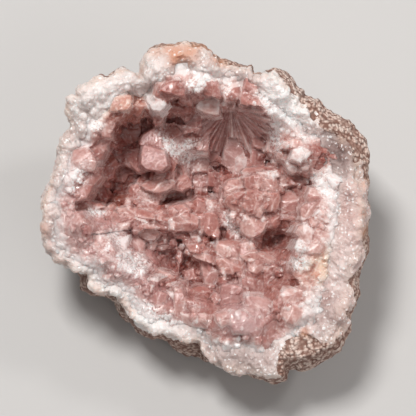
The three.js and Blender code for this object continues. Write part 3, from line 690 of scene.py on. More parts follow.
# Where it is stained amber and, below 0, where it is rose.
TINTS = [
    [-21.5, 29.5, 8, 4.5, 0, 0.6], [34, -14, 8, 4.5, 15, 0.9], [-33, -3, 3, 4, 0, 0.4],
    [-24.5, 4, 3, 2.5, 0, 0.5], [-4, -13, 3, 3, 0, 0.3], [10.5, -29, 6, 5, 0, -1], [9, -22, 6, 4, 0, -0.5],
    [-26, -9, 11, 8, -30, -0.7], [-36, 8, 6, 15, 0, -0.6], [-12, -9, 6, 4, 0, -0.3],
    [-12, -22, 12, 7, -20, -0.5], [2, 22, 10, 7, 0, -0.4],
]
# Where small white crystals are thick on it.
DRUSE = [
    [-10.6, 20.6, 1.8, 4.6, 28, 1], [-6.4, 17.2, 3.4, 2.4, 0, 0.9], [-3.4, 20.6, 2.2, 1.2, 0, 1],
    [-2.0, 36.0, 3.2, 1.8, 20, 1], [-29, 32, 3.5, 2.4, 20, 0.8], [-29.6, 24.8, 1.4, 1.8, 30, 0.9],
    [-33.6, 12, 2.0, 4.4, -20, 0.7], [-35, 9.6, 2, 3, -30, 0.8], [19.4, 23, 1.6, 3.4, 5, 1],
    [7.6, -3.0, 1.8, 4.0, 35, 0.6], [25.8, -13.4, 2.6, 1.8, 0, 1], [-2.2, 14.4, 2.4, 2.2, 0, 0.6],
    [-20, -13.5, 4.0, 2.6, -25, 0.9], [-30, 1.0, 2.6, 1.4, 0, 0.9], [-16.6, 4.4, 3.2, 1.6, 0, 0.7],
    [-26, -7.5, 3, 3, 0, 0.6], [2.2, 2.4, 1.6, 1.4, 0, 0.6], [-3.4, -25, 1.6, 1.2, 0, 0.8],
    [-14, -26.4, 4, 1.5, -20, 0.6], [17.6, 11.4, 3, 0.9, -12, 0.8], [6, 33.5, 2, 2, 0, 0.5],
    [33, 8.8, 3, 2.6, 0, 0.9], [26.4, -8.8, 1.6, 2, 0, 0.9], [2.6, -7.4, 1.0, 1.2, 0, 0.8],
    [21.5, 31, 7, 4, -35, 0.6],
]
# Where its relief is worn softer.
SOFT = [
    [11, -28, 8, 7, 0, 0.75], [-2, -28, 9, 4, -10, 0.6], [24, -24, 6, 8, 10, 0.5], [35, -2, 6, 12, 0, 0.6],
    [-22, -11, 7, 5, -35, 0.4], [-37, 0, 4, 12, 0, 0.4], [0, -38, 20, 4, -5, 0.6], [15, 36, 9, 5, -30, 0.5],
]

# The crust as it grows. For each grid point: its height, how much it is broken up by small blocks, how far
# it is from the edge of its face, its paleness, tint and white crystals, the paleness of the area round it,
# the share of small crystals that grow there, and how deep a gap it lies in.
bed_points = bed.reshape(-1, 3)
edge_share = bed_share.ravel()
(wide, wide_inset), (mid, mid_inset), (fine, _) = (
    facets(bed_points, size, salt) for size, salt in ((5.0, 91), (2.4, 92), (1.2, 93))
)
blocks = 2.6 * wide + 1.3 * mid + 0.5 * fine - 1.0
crust_w = bed_w + blocks * (1 - 0.75 * smooth(edge_share, 0.78, 0.96))
breakage = 1.3 * mid + 0.5 * fine - 0.9
inset = np.minimum(wide_inset, mid_inset + 0.1)
tint = np.clip(bumps(crust_u, crust_v, TINTS), -1, 1)
druse = np.clip(1.3 * bumps(crust_u, crust_v, DRUSE), 0, 1)
tone = np.clip(0.38 + bumps(crust_u, crust_v, TONES) + 0.6 * smooth(edge_share, 0.82, 0.985), 0.05, 0.97)
tone = np.clip(tone + 0.25 * druse, 0, 1)
tone = np.clip(tone + 0.25 * (wide - 0.5), 0.03, 0.97)
area_tone = tone.copy()
ragged_share = 0.75 * np.ones_like(tone)
gap_depth = np.zeros_like(tone)

# How steeply a crystal's sides fall, and how wide and steep the bevel is that breaks its edge.
SIDE_SLOPE, BEVEL_SLOPE, BEVEL = 7.0, 0.7, 0.22


def grid_points_in(low, high):
    """The grid points in a box, from the row of them sorted along u."""
    first, last = np.searchsorted(sorted_u, [low[0], high[0]])
    at = by_u[first:last]
    return at[(crust_v[at] > low[1]) & (crust_v[at] < high[1])]


def past_outline(outline, at):
    """How far points lie outside a convex outline, or less than 0 inside: the most they pass any side."""
    after = np.roll(outline, -1, 0)
    along = after - outline
    turn = np.sign(np.sum(outline[:, 0] * after[:, 1] - outline[:, 1] * after[:, 0]))
    out = turn * np.stack([along[:, 1], -along[:, 0]], -1) / np.linalg.norm(along, axis=-1, keepdims=True)
    return np.max([crust_u[at] * a + crust_v[at] * b - p @ (a, b) for (a, b), p in zip(out, outline)], 0)


def lay(outline, height, leans, polish=1.0, carve=False):
    """Raises the crust to one crystal: inside its outline the lowest of its faces, each a plane through the
    height above the outline's middle that leans its own way, then a narrow bevel and steep sides. The less
    the polish, the more its outline is ragged and its faces are broken by the small blocks. With carve,
    whatever stood inside the outline is cut away first. Returns the points it covers and the number of the
    face at each."""
    middle = outline.mean(0)
    foot = 2                    # millimetres that the sides may spread past the outline
    at = grid_points_in(outline.min(0) - foot, outline.max(0) + foot)
    if not len(at):
        return at, at
    away = np.stack([crust_u[at], crust_v[at]], -1) - middle
    faces = height - away @ np.asarray(leans, float).T
    which = faces.argmin(1)
    top = faces[np.arange(len(at)), which]
    past = past_outline(outline, at) + (1 - polish) * (mid[at] - 0.5)
    gap = -past
    if len(leans) > 1:
        steps = np.linalg.norm(np.asarray(leans)[which][:, None] - np.asarray(leans)[None], axis=-1)
        apart = np.where(steps > 0, (faces - top[:, None]) / np.maximum(steps, 1e-6), 99.0)
        gap = np.minimum(gap, apart.min(1))
    fallen = np.maximum(0, np.maximum(BEVEL_SLOPE * (past + BEVEL), SIDE_SLOPE * past))
    made = top - fallen + 0.6 * (1 - polish) * breakage[at]
    gap = np.minimum(gap, mid_inset[at] + 3 * polish)
    wins = (made > crust_w[at]) | (carve & (past < 0))
    at, which, gap = at[wins], which[wins], gap[wins]
    crust_w[at], inset[at] = made[wins], np.maximum(gap, 0)
    return at, which


def strewn(count, seed, sizes, rise, spread, where, vary):
    """A layer of three-faced crystals over the crust as it is, spread evenly by a low-discrepancy row of
    pairs: radius from its range, standing out by rise radii, leaning with the bed and a little by chance.
    where is the share of them that grow at a place, and vary how much their paleness differs. One in ten
    has a face painted pale as a glint, and steeper faces are painted paler, a painted facet light."""
    rng = np.random.default_rng(seed)
    plastic = 1.32471795724     # the ratio behind the even row: its cube is itself plus 1
    k = np.arange(1, count + 1) + seed
    i, j = (np.mod(0.5 + k / p, 1) * (CRUST_CELLS + 1) for p in (plastic, plastic**2))
    places = i.astype(int) * (CRUST_CELLS + 1) + j.astype(int)
    n = np.cross(*(np.gradient(bed, axis=axis) for axis in (0, 1))).reshape(-1, 3)[places]
    for at, normal in zip(places, n / n[:, 2:]):
        radius = sizes[0] * (sizes[1] / sizes[0]) ** rng.uniform()
        chance, own = rng.uniform(size=2)
        angles = np.sort(rng.uniform(0, 1, 6)) + np.arange(6)
        lengths = radius * rng.uniform(0.75, 1.15, 6)
        lean = np.clip(normal[:2], -1.2, 1.2) * 0.6 + rng.normal(0, spread, 2)
        three = rng.uniform(0, 2 * np.pi) + np.arange(3) * 2 * np.pi / 3
        steep = rng.uniform(0.15, 0.8, 3)
        if chance > where[at]:
            continue
        corner = angles * np.pi / 3.5
        outline = lengths[:, None] * np.stack([np.cos(corner), np.sin(corner)], -1)
        leans = lean + steep[:, None] * np.stack([np.cos(three), np.sin(three)], -1)
        shift = rng.normal(0, 0.25 * radius, 2)
        middle = np.array([crust_u[at], crust_v[at]]) + shift
        on, which = lay(outline + middle, crust_w[at] + rise * radius, leans)
        # Painted light: one face of one crystal in ten is painted pale as a glint, and steeper faces are
        # painted paler.
        painted_glint_face = 0.5 * (own > 0.9) * (which == 0)
        tone[on] = np.clip(area_tone[on] + vary * (own - 0.4) + painted_glint_face + 0.16 * (steep[which] - 0.5), 0, 1)


# The large crystals, back ones first, in groups with how clean their faces are, from 0 to 1. Each crystal
# is [rise above the bed, lean in u, lean in v, paleness, tint, outline u, v, ...].
CRYSTALS = [
    # the dark pocket at the upper left: its crystals are painted dark, partly their own brown and partly
    # painted shade of the pocket
    (0.8, [
        [0.5, 0.1, -0.2, 0.13, 0.2, -24.5, 23.5, -23.5, 25.4, -20.5, 26.2, -18, 25.8, -17.6, 23, -19.2, 20.6,
         -21.6, 19.9, -23.2, 21.2],
        [0.6, -0.2, -0.5, 0.06, 0, -18, 26.5, -16.3, 27.8, -14.8, 26, -13.4, 25, -15.5, 23.8, -17.8, 22.6],
        [0.5, 0.3, -0.1, 0.17, 0, -28.9, 16.8, -26.8, 18.4, -25.2, 17.2, -24.6, 14.5, -25.6, 10.5, -27.4, 9.4,
         -28.6, 11, -29.8, 13.2],
        [1.0, 0.1, 0, 0.2, -0.2, -26.8, 18.6, -24.6, 19.6, -23.4, 17.2, -22.6, 14.4, -24.4, 14.8, -25.8,
         16.6],
        [0.9, 0.2, 0.1, 0.22, -0.2, -25.5, 12.2, -24.2, 14.6, -22.6, 13.4, -21.6, 11, -23, 9.6, -25.2, 9.9],
        [0.6, 0.1, 0.3, 0.16, 0.1, -27.2, 9.2, -25.4, 9.6, -22.8, 9.2, -22.4, 7.2, -24, 5.8, -26.4, 6.2,
         -27.6, 7.6],
        [0.8, -0.1, 0.2, 0.14, 0.2, -31.2, 8.6, -29.5, 9.3, -27.8, 7.4, -27.2, 5, -28.6, 3.6, -31.4, 4, -32.6,
         5.6],
        [1.2, 0, 0.3, 0.3, 0.8, -26, 4.8, -24.5, 5.6, -22.7, 5.8, -22.4, 4, -23, 2.4, -25.8, 2.2],
        [2.4, 0.3, 0.2, 0.52, 0.2, -35.6, 3.6, -32.8, 3.9, -29, 3.4, -27.6, 2.2, -32, 1.2, -35.8, 1.4],
    ]),
    # the amber overhang above it
    (0.3, [
        [2.5, 0.2, -0.5, 0.5, 0.6, -26.2, 27.6, -25.6, 28.8, -22.6, 28.2, -21.4, 27.2, -23.6, 26, -25.6, 24.9,
         -26.2, 26.2],
        [3.0, -0.1, -0.5, 0.56, 0.5, -20.8, 30.6, -19.6, 33.4, -17.2, 33.6, -16.6, 30.6, -17.2, 28.4, -19.4,
         27.6, -21.2, 28.4],
        [3.0, 0, -0.35, 0.66, 0.5, -26, 30.2, -24.6, 32.8, -20.6, 33.2, -20.2, 30.4, -21.6, 28.6, -24.4, 28.4,
         -25.8, 28.8],
    ]),
    # the teeth along its left side
    (0.75, [
        [2.0, 0.2, -0.1, 0.46, 0, -32.2, 18.6, -30.2, 20.5, -27.8, 21.2, -26.3, 21.4, -26.8, 19.2, -28.1,
         16.8, -29.4, 15.4, -31, 16.6],
        [2.5, 0.1, 0.1, 0.62, 0, -29.8, 21.8, -28.8, 24.6, -28.2, 26.6, -26.3, 26.4, -25.7, 23.2, -26, 21.9,
         -28, 21.3],
        [2.0, 0.2, -0.1, 0.55, 0, -36, 8.6, -33.4, 8.9, -31, 8.2, -32, 6.2, -33.2, 4.6, -35.6, 4],
        [2.4, 0.2, 0, 0.56, 0.1, -34, 11.9, -31.4, 12.2, -30, 12.1, -29, 10.6, -30.3, 9.2, -32, 8, -33.8,
         8.6],
        [2.8, 0.1, 0.1, 0.64, -0.2, -36.4, 18.6, -33, 19.2, -31.2, 17.4, -30.1, 14.6, -30.3, 12.6, -31.6, 12,
         -34.5, 12.4, -36.4, 14.4],
    ]),
    # the two blocks in front of it, and the plates round them
    (0.9, [
        [1.6, 0, 0.1, 0.45, 0, -12, 24.8, -9.8, 25.8, -7.8, 25, -6.4, 24, -7.4, 21.6, -9.6, 21.4, -11.4,
         22.4],
        [2.6, 0, 0.25, 0.45, -0.3, -18.7, 20.6, -17.9, 22.4, -15.4, 24.2, -13, 24.7, -11.6, 22, -11.9, 18.8,
         -14, 18.4, -17.4, 18.8],
        [2.4, 0.1, -0.2, 0.44, 0, -12, 15.8, -10.4, 17.6, -8, 16.2, -7.6, 13.4, -9.2, 12.1, -12.4, 12.2],
        [3.0, -0.3, 0, 0.54, -0.3, -23.5, 16.5, -21.5, 18.2, -18.6, 19.4, -16.6, 19.4, -16.2, 13.6, -18.5,
         12.1, -21, 11.7, -22.2, 14.2],
        [5.0, 0.05, 0.12, 0.56, -0.6, -17.3, 18.8, -16.5, 19.2, -13.5, 18.7, -11, 17.9, -10.7, 14.2, -11.7,
         12.8, -13.2, 12.3, -16.4, 12.9, -17.8, 14.4, -17.6, 16.6],
    ]),
    # the ledge below them
    (0.75, [
        [1.6, 0.2, -0.3, 0.34, 0, -19.5, 9.6, -17.6, 11.6, -15.8, 12.4, -13.4, 11.9, -15.4, 10.4, -17.6, 8.8,
         -19.2, 8.5],
        [2.6, -0.1, 0.3, 0.56, 0, -22.2, 6.6, -21.4, 8.2, -19.4, 8.8, -18, 8.2, -17.8, 6.7, -20, 5.7, -21.6,
         5.9],
        [3.4, 0, 0.1, 0.85, 0, -13.3, 6.5, -10.6, 7, -10.9, 5.2, -12, 4.3, -13, 5.2],
        [3.2, 0.05, 0.3, 0.63, 0, -18.3, 8.1, -15.2, 10.2, -12.8, 11.7, -11.4, 11.8, -9.7, 11.2, -8.6, 9.8,
         -8.5, 8, -10.5, 6.9, -13, 6.4, -16.6, 6.9],
        [1.8, 0, 0.2, 0.5, 0, -4.6, 12.4, -4.4, 15.6, -2.4, 16.6, 0.4, 16, 1.4, 13.8, 0, 12.4, -2.4, 12.6],
        [2.4, 0.1, 0.2, 0.53, 0, -8.4, 8.5, -8.6, 12.5, -7.6, 14, -5.8, 13.8, -4.6, 12, -4, 10, -4.2, 7.8,
         -5.8, 7.2, -7, 6.8, -8, 7.5],
        [2.0, 0.1, 0.1, 0.5, -0.4, -3.9, 8.2, -4.1, 11.4, -2.6, 12.4, -0.6, 11.8, 0.7, 10.4, 0.8, 8.4, -1.4,
         7.8],
        [2.2, 0.2, 0.1, 0.45, -0.3, 0.7, 8.2, 1, 12, 2.6, 12.6, 4.2, 11.9, 4.6, 9.8, 4.2, 8],
        [1.2, 0.2, 0.1, 0.32, 0, 1.4, 14.6, 1.6, 17, 3.4, 17.6, 4.8, 15.6, 4, 14],
        [2.6, 0, 0.2, 0.6, 0, -2.6, 18.4, -3, 20.8, -0.6, 21.2, 1.4, 19.8, 0.9, 18.2],
        [3.0, 0, -0.2, 0.96, 0, -2.7, 18.4, -1.6, 17, 0.1, 16.9, 0.95, 17.7, -0.4, 18.2],
    ]),
    # the second ledge
    (0.4, [
        [2.0, 0.1, 0.1, 0.4, 0, -8, 3.4, -7.6, 4.9, -6, 4.9, -5.4, 3.6],
        [2.8, 0, 0.3, 0.68, 0, -25.5, 1.8, -22.5, 2.2, -18, 2, -14.2, 0.5, -13.9, -1, -16.5, -2.1, -20.5, -1,
         -24, -0.6],
        [2.0, 0.2, 0.1, 0.38, 0, -28.6, -0.2, -26, 1.6, -23.5, -0.5, -24.5, -1.8, -27.8, -1.8],
        [2.6, 0, 0.2, 0.66, 0, -20.4, 5.4, -19, 6.3, -16.5, 6.3, -13.7, 5.8, -13.1, 3.6, -13.6, 1.8, -15.5,
         1.5, -18, 2.2, -20, 3],
        [3.0, -0.1, 0.2, 0.85, -0.2, -22.6, 3.2, -22.6, 4.6, -21.9, 4.9, -20.8, 3.9, -21, 2.5, -22.3, 2.3],
        [2.4, 0, 0.2, 0.6, 0, -21.5, -1.2, -18, -2, -14.2, -0.6, -12.5, -1.5, -13, -3.6, -16, -3.9, -20.8,
         -3.8, -22, -2.6],
        [2.8, 0, 0.5, 1, 0, -20.2, -0.4, -18.5, -0.7, -16.2, -1.6, -17.6, -2.1, -19.2, -1.3],
    ]),
    # plates at the centre
    (0.82, [
        [2.4, 0, 0.1, 0.42, 0, -9, -4.4, -7.2, -4.2, -4.4, -4.8, -3.4, -6.4, -5.8, -6.9, -8.6, -6.4],
        [2.2, 0.1, 0, 0.52, 0, -3.6, -4.9, -1.8, -4.2, -0.4, -5.2, -0.6, -7.4, -2.6, -8, -3.8, -6.8],
        [3.0, 0, 0.2, 0.53, 0, -4.2, 2.6, -3.6, 4, -2, 5, -0.6, 4.6, 0.4, 3, 0.2, 0.6, -2, -0.4, -4, 0.6],
        [3.2, 0.1, 0.15, 0.55, 0, 0.6, 3, 0.8, 4.4, 2.4, 4.5, 3.6, 4.2, 4.2, 2.4, 3.8, 0.6, 2.2, 0.3, 0.8,
         1.2],
        [2.6, -0.05, 0.15, 0.52, 0, -10.3, 0.2, -10, 2, -8, 2.6, -5.8, 2.7, -4.4, 1.6, -4.2, -1, -5.6, -3.6,
         -8, -4, -9.4, -2.6],
        [3.4, -0.2, 0.1, 0.94, 0, -10.3, -1.8, -9.2, -1.2, -8.5, -2.4, -8.7, -4.5, -9.6, -4],
        [3.4, 0, 0.1, 0.48, 0, -7.4, -0.6, -5.8, 0.8, -3.2, 0.6, -1.6, -1.2, -2, -3.6, -3.8, -5, -6.2, -4.8,
         -7.6, -3],
        [3.8, 0.05, 0.1, 0.57, 0, -1.6, -1, -0.4, 0.2, 1.8, 0.5, 3.6, -0.4, 4, -2.8, 3.4, -4.8, 1.6, -5.6,
         -0.4, -4.8, -1.6, -3],
        [3.0, 0, 0.2, 0.8, -0.4, -5.4, 3.6, -5.6, 4.9, -4.8, 5.4, -4.1, 4.6, -4.2, 3.4],
        [1.5, 0, 0.1, 0.4, 0, 4.2, 4.2, 5.2, 4.4, 6.6, 2, 6, 0.6, 4.4, 0.6],
    ]),
    # the large salmon mass right of them
    (0.5, [
        [3.4, 0.1, 0.3, 0.56, 0, 9.6, 11.6, 10.4, 12.8, 12.6, 13.8, 16, 13.4, 18.4, 14, 20.4, 13.8, 20.6, 12,
         18, 11.2, 13.6, 11.6],
        [4.2, -0.2, 0.2, 0.59, 0, 5.2, 7.4, 7, 9.8, 10.4, 10.6, 12.6, 9, 11.6, 6, 8, 5.4, 5.8, 6],
        [4.6, 0, 0.3, 0.58, 0, 11, 10.4, 14, 11.2, 17, 10.8, 18.2, 8.6, 16, 6.4, 12.6, 6.2, 11.2, 8],
        [4.4, 0.25, 0.2, 0.60, 0, 16.6, 10.6, 20, 10, 21.2, 7.6, 20.4, 5, 17.6, 5, 16.2, 7.4],
        [4.2, -0.1, -0.2, 0.58, 0, 7.4, 1.4, 10.4, 0.6, 11, -1.6, 9.6, -3.2, 7.4, -1.4],
        [4.8, -0.2, 0, 0.56, 0.1, 6.2, 5.8, 9.6, 6.4, 12, 5, 11.8, 2, 9.6, 0.2, 7, 1.6, 5.8, 3.6],
        [5.4, 0.05, 0.05, 0.56, 0.15, 11, 6.6, 14.6, 7.2, 17.8, 5.6, 18.2, 2.4, 15.6, 0.2, 12.2, 0.2, 10.4,
         2.6],
        [4.8, 0.3, 0, 0.58, 0.1, 17.2, 6.2, 20.4, 6.2, 21, 2.6, 18.8, 0.9, 16.8, 2],
        [4.2, 0.1, 0.3, 0.91, 0, 14.8, 11.9, 17, 12.4, 20.2, 12.2, 20.8, 11, 18.6, 10.8, 16.6, 10.9],
        [3.2, 0, 0.1, 0.48, 0, 13, -6.3, 15.6, -5.8, 16.8, -5, 16, -7.2, 14.2, -7.6],
        [3.4, 0.1, 0, 0.48, 0, 18.1, -1.6, 17.9, 0.4, 19.4, 1, 20.7, 0.5, 21, -2.5, 20.4, -3.6, 18.2, -3.4],
        [5.6, 0, 0.15, 0.62, 0, 10, -4.2, 10.3, -2.2, 11.4, -0.4, 14, 0.2, 16.4, -0.3, 17.6, -2, 17.4, -3.7,
         15.4, -5.6, 13.2, -6.2, 11.4, -5.6],
    ]),
    # right of the mass: a flower of pale plates, and the crystals below it
    (0.72, [
        [3.4, 0, -0.1, 0.5, 0, 23.2, 7.4, 23.8, 10.5, 25.2, 11.3, 27, 11, 29, 9.8, 30.4, 8.6, 29.3, 7.9, 28.2,
         5.8, 26.2, 5.9, 24.6, 6.6],
        [2.6, -0.1, 0.1, 0.72, 0, 18.6, 16.4, 19.6, 18, 20.6, 17.6, 20.9, 15.4, 20, 15.4],
        [2.4, 0.2, 0, 0.58, 0, 26.4, 14.4, 28.2, 15, 29.2, 14, 28.6, 12.8, 27.2, 12.4],
        [2.8, -0.2, 0.2, 0.75, 0, 20.8, 18.4, 21.4, 20.2, 24, 20.8, 26.8, 20.4, 28, 19, 24.4, 18.4],
        [3.2, 0.3, 0.1, 0.82, 0, 26.8, 18.4, 28.8, 18.2, 29.4, 17, 28.4, 15.2, 26.9, 15.6],
        [3.4, -0.2, 0.1, 0.86, 0, 20.6, 16, 21, 18.5, 23, 19.5, 24.3, 18, 23.4, 15.5, 21.7, 15],
        [3.6, 0, -0.15, 0.78, 0, 22, 13.9, 23.4, 15.4, 25.8, 14.6, 26.1, 13, 24.2, 11.4, 23, 12.4],
        [3.8, 0, 0.2, 0.84, 0, 23.4, 15.4, 24.2, 18.2, 26.5, 18.6, 27.6, 16.8, 26, 14.6],
        [2.6, -0.2, 0.1, 0.82, 0, 21, 11, 22.3, 11.3, 23.7, 9.3, 22.7, 7.2, 21.8, 6.6, 21, 8.6],
        [1.8, 0.1, 0, 0.28, 0, 20.5, 0.9, 22.6, -0.8, 24.6, -1.9, 26, -2.7, 24.8, -4.5, 22, -4, 20.9, -2.5,
         20.8, -1],
        [2.4, 0, -0.1, 0.48, 0, 21, 0.4, 23.4, 0, 25.9, 0.6, 26.8, -0.4, 27.9, -1.6, 26.4, -2.3, 24.5, -1.7,
         22.6, -0.6],
        [3.0, -0.1, 0.1, 0.66, -0.2, 21.4, 6.2, 22.6, 6.9, 24.5, 6.6, 26.6, 4.5, 26.9, 2.2, 25.8, 0.9, 24.2,
         0.2, 21.8, 0.9, 20.8, 2.2, 21, 4.5],
        [2.6, -0.2, 0.1, 0.7, -0.1, 28.3, 5.5, 29.3, 7.7, 31, 7.9, 32, 6.6, 31.8, 4.6, 30.5, 3.6, 28.9, 3.7],
        [2.8, -0.1, 0.1, 0.7, 0, 26.2, 1.6, 27.6, 3, 29.5, 3.5, 31.2, 3.2, 31.7, 1.4, 30, 0, 28, -1, 26.2,
         -0.2],
        [3.4, 0.3, 0, 1, 0, 30, 0.3, 31.6, 1.6, 31.8, 1.2, 30.6, 0.2],
        [2.8, -0.2, 0.1, 0.78, 0, 25, -4.8, 26, -3.2, 28.3, -2.9, 29.8, -4.2, 29.9, -6, 28.4, -7.5, 26.2,
         -6.9, 25.2, -5.8],
        [3.0, -0.2, 0.1, 0.93, 0, 25, -7.5, 26.4, -7.2, 28.2, -7.6, 28.5, -9.4, 27, -10.6, 25.6, -10.2, 24.9,
         -9],
        [2.6, 0, 0.1, 0.8, 0, 28.6, -8, 30.8, -6.6, 32.6, -8.4, 31.8, -10.8, 29, -11, 28, -10],
        [2.6, -0.2, 0.1, 0.95, 0, 30.9, 9.4, 31.8, 10.4, 33.4, 10.8, 34, 9, 33, 7.4, 31.5, 7.9],
        [2.8, -0.1, 0.1, 0.93, 0, 33.6, 10.9, 36, 11.6, 37.4, 10.6, 37, 8.4, 35, 7.4, 34, 8.4],
    ]),
    # under the knob at the top
    (0.6, [
        [2.8, 0.1, 0.1, 0.45, 0, -12.6, 34, -10.6, 33.8, -8.2, 32.4, -5.6, 32.8, -4.8, 35, -7, 36.6, -10.4,
         36.4],
        [2.4, 0, -0.1, 0.38, 0, -10.4, 30.4, -8.7, 31.9, -6.4, 31.9, -4.8, 30.6, -4.4, 28.4, -5.6, 27.9, -8.3,
         28, -10.2, 28.8],
        [3.0, 0, 0, 0.4, 0, -0.4, 33.4, 0.6, 36.2, 3.6, 36.9, 4.6, 34.6, 3.9, 32.5, 2, 32.2],
        [3.4, 0.1, 0.1, 0.52, 0, 10.6, 34.6, 11.6, 37, 14.4, 36.6, 15, 34, 12.8, 33.6],
        [3.0, 0, 0.1, 0.48, 0, 6.2, 32.8, 7.6, 35.4, 10.2, 35.6, 9.7, 33.4, 8.6, 31.8, 7, 31.4],
        [3.6, 0.1, 0.1, 0.55, 0, 12.6, 29, 13.6, 32.4, 15.4, 32.2, 16.3, 30, 16.7, 28.6, 14.8, 28.3],
        [4.0, 0, 0.1, 0.54, 0, 9.8, 30.1, 9.3, 32.4, 10.3, 34.4, 12.6, 34.4, 13.6, 31.5, 12.8, 29, 11.5,
         28.8],
        [2.6, 0.1, 0.1, 0.8, 0, 4.2, 31.3, 4.6, 32.7, 5.6, 32.8, 6.3, 31.6, 5.6, 31, 4.6, 30.8],
        [1.6, 0.1, 0.1, 0.52, -0.2, -6.3, 24.4, -4.6, 26.2, -2.4, 26.4, -1.8, 24.4, -3.6, 22.8, -5.8, 22.6],
        [1.0, 0, 0, 0.27, 0, -6, 23, -3.4, 23.4, -1.4, 23, -1.6, 21.4, -4, 21, -5.8, 21.6],
        [4.4, 0, 0, 0.62, 0, -16.3, 29.2, -14.3, 28.3, -13, 28, -11.6, 29.2, -11.3, 26.8, -12.2, 25.4, -13.4,
         25.3, -15.5, 27.5],
        [5.6, -0.1, 0.1, 0.95, -0.2, -16.9, 31.8, -16.3, 33.5, -15.2, 33.9, -13.8, 33, -12, 31.3, -10.4, 30,
         -10.9, 29.4, -12.5, 28.6, -13.6, 27.8, -14.6, 28.3, -16.2, 29.3],
    ]),
    # the jagged group in the lower middle
    (0.68, [
        [3.0, -0.1, 0.3, 0.56, 0, -6, -7.4, -4.2, -6.8, -1.6, -8.2, 0.6, -8, 1.4, -9.8, -1.4, -10.6, -4.2,
         -10],
        [3.4, 0, 0.25, 0.58, 0, -3.8, -10.2, -1, -10.8, 1.6, -10.2, 3.4, -11.8, 2.4, -13.8, -0.4, -13.2, -2.8,
         -11.8],
        [4.0, 0, 0.3, 0.62, 0, 2.6, -8.2, 4.2, -6.6, 6.2, -7, 9.6, -6.8, 10.8, -8.6, 9, -11.2, 5.4, -11.6,
         2.8, -10.4],
        [3.8, 0.1, 0.25, 0.6, 0.1, 9.8, -8, 12, -7.4, 14.4, -9, 15.6, -11.2, 14.4, -13, 11.4, -13, 9.4, -11],
        [2.6, 0.1, 0, 0.54, 0, 16.8, -14, 19.8, -14, 20.6, -15.8, 20, -18.2, 17.6, -18.6, 16.4, -16.4],
        [3.2, 0.2, 0.2, 0.66, 0, 14.6, -10.4, 17.2, -10.4, 19.4, -11.4, 19.8, -13.4, 17, -14, 15, -12.8],
        [3.6, 0.15, 0.15, 0.64, 0, 12, -13, 14.6, -12.6, 16.2, -13.4, 16.6, -15.6, 14.4, -16.6, 12.2, -15.8],
        [4.2, 0.05, 0.2, 0.58, 0.15, 2.8, -11.4, 5.6, -11.6, 9.2, -11.2, 11.4, -13.2, 10.2, -15.6, 6.4, -17,
         4.4, -15.4, 3.2, -13.4],
        [4.6, 0.2, 0.2, 0.95, 0, 4.6, -15.4, 5, -14.4, 5.6, -15.6, 6.1, -17.6, 5.2, -17.2, 4.4, -16.2],
    ]),
    # greyish crystals, a prism and a lying point below it
    (0.8, [
        [2.2, 0.1, 0.2, 0.46, 0, -4.4, -20.4, -1.6, -20, 0.8, -20.6, 2.2, -22.4, 0.4, -23.6, -3, -23.2, -5,
         -22],
        [2.4, 0, 0.3, 0.56, -0.1, -6, -16, -3.6, -15.2, -1.6, -15.6, -1, -17.8, -2.4, -18.6, -5.8, -18.4],
        [3.0, -0.1, 0.2, 0.54, -0.3, -1.6, -13.2, 0.4, -13.4, 2.6, -14.4, 3.6, -16.4, 3.6, -18.6, 2.2, -20,
         0.4, -19, -0.8, -16.4],
        [2.8, 0, 0.3, 0.67, -0.2, -7.9, -7.2, -6.5, -7.2, -6, -10, -6.2, -13, -7.2, -14, -8.1, -12, -7.9,
         -9.4],
        [2.4, -0.1, 0.2, 0.54, 0, -5, -23.6, -3.4, -23.2, -1.6, -24, -1.2, -26.4, -3, -27.4, -5, -26],
        [2.2, 0, 0.1, 0.46, -0.2, -15.6, -22.4, -12.6, -21.4, -10.6, -22, -10.8, -24.4, -13.6, -25, -15.6,
         -24.2],
        [2.2, 0.1, 0.1, 0.5, -0.2, -14.6, -25, -11.2, -24.8, -9.2, -25.8, -9.6, -27.2, -12.4, -27.6, -14.8,
         -26.8],
        [3.0, 0.1, 0.2, 0.58, 0, -8, -20.6, -6.8, -20.6, -5.6, -22.8, -5.6, -26, -6.6, -28.6, -8, -27.8, -8.6,
         -24],
        [3.4, 0.1, -0.3, 0.45, 0, -12.6, -17.6, -9.4, -17.3, -8, -17.2, -8, -19, -10.4, -19.8, -12.6, -19.8],
        [4.0, -0.1, 0.5, 0.7, 0, -16.4, -18.2, -13.4, -15.2, -12, -15.2, -9.8, -16.2, -7.9, -17.3, -9.4,
         -17.8, -13, -18.4],
        [4.4, -0.2, 0.5, 1, 0, -16.3, -19.3, -15.6, -18, -12.4, -16.8, -12.3, -17.6, -14.2, -18.6],
        [3.8, 0, 0.4, 0.95, 0, -12.4, -20, -10.4, -19.2, -8.4, -18.6, -8.6, -19.3, -10.6, -19.9],
        [3.4, 0, 0.4, 1, 0, -10.2, -21.8, -9.4, -21.4, -8.5, -21.9, -9, -23.4, -9.5, -22.9],
        [3.0, 0, 0.4, 1, 0, -15.4, -21.4, -15, -19.8, -14.6, -20.2, -14.9, -21.4],
    ]),
    # the rose lumps at the bottom
    (0.6, [
        [2.6, 0, 0.1, 0.62, -0.5, 4.8, -19.8, 8.4, -19.4, 10.8, -20.8, 11, -23.8, 8.4, -25.4, 5, -24.8, 4.2,
         -22.4],
        [2.6, 0.1, 0.1, 0.6, -0.2, 10.6, -18, 14.4, -17.6, 16.6, -19.4, 16.4, -22.4, 13.2, -23, 10.8, -21.6],
        [2.8, 0.05, 0.1, 0.64, -0.5, 11.6, -23, 15, -22.8, 18.4, -24, 19, -27.4, 16, -29, 12.4, -28, 11,
         -25.6],
        [2.0, 0, 0.1, 0.64, -0.1, -6, -27.6, -2.4, -27, 1.6, -27.4, 2.2, -29.6, 0.4, -31.4, -4, -31.6, -6.4,
         -30],
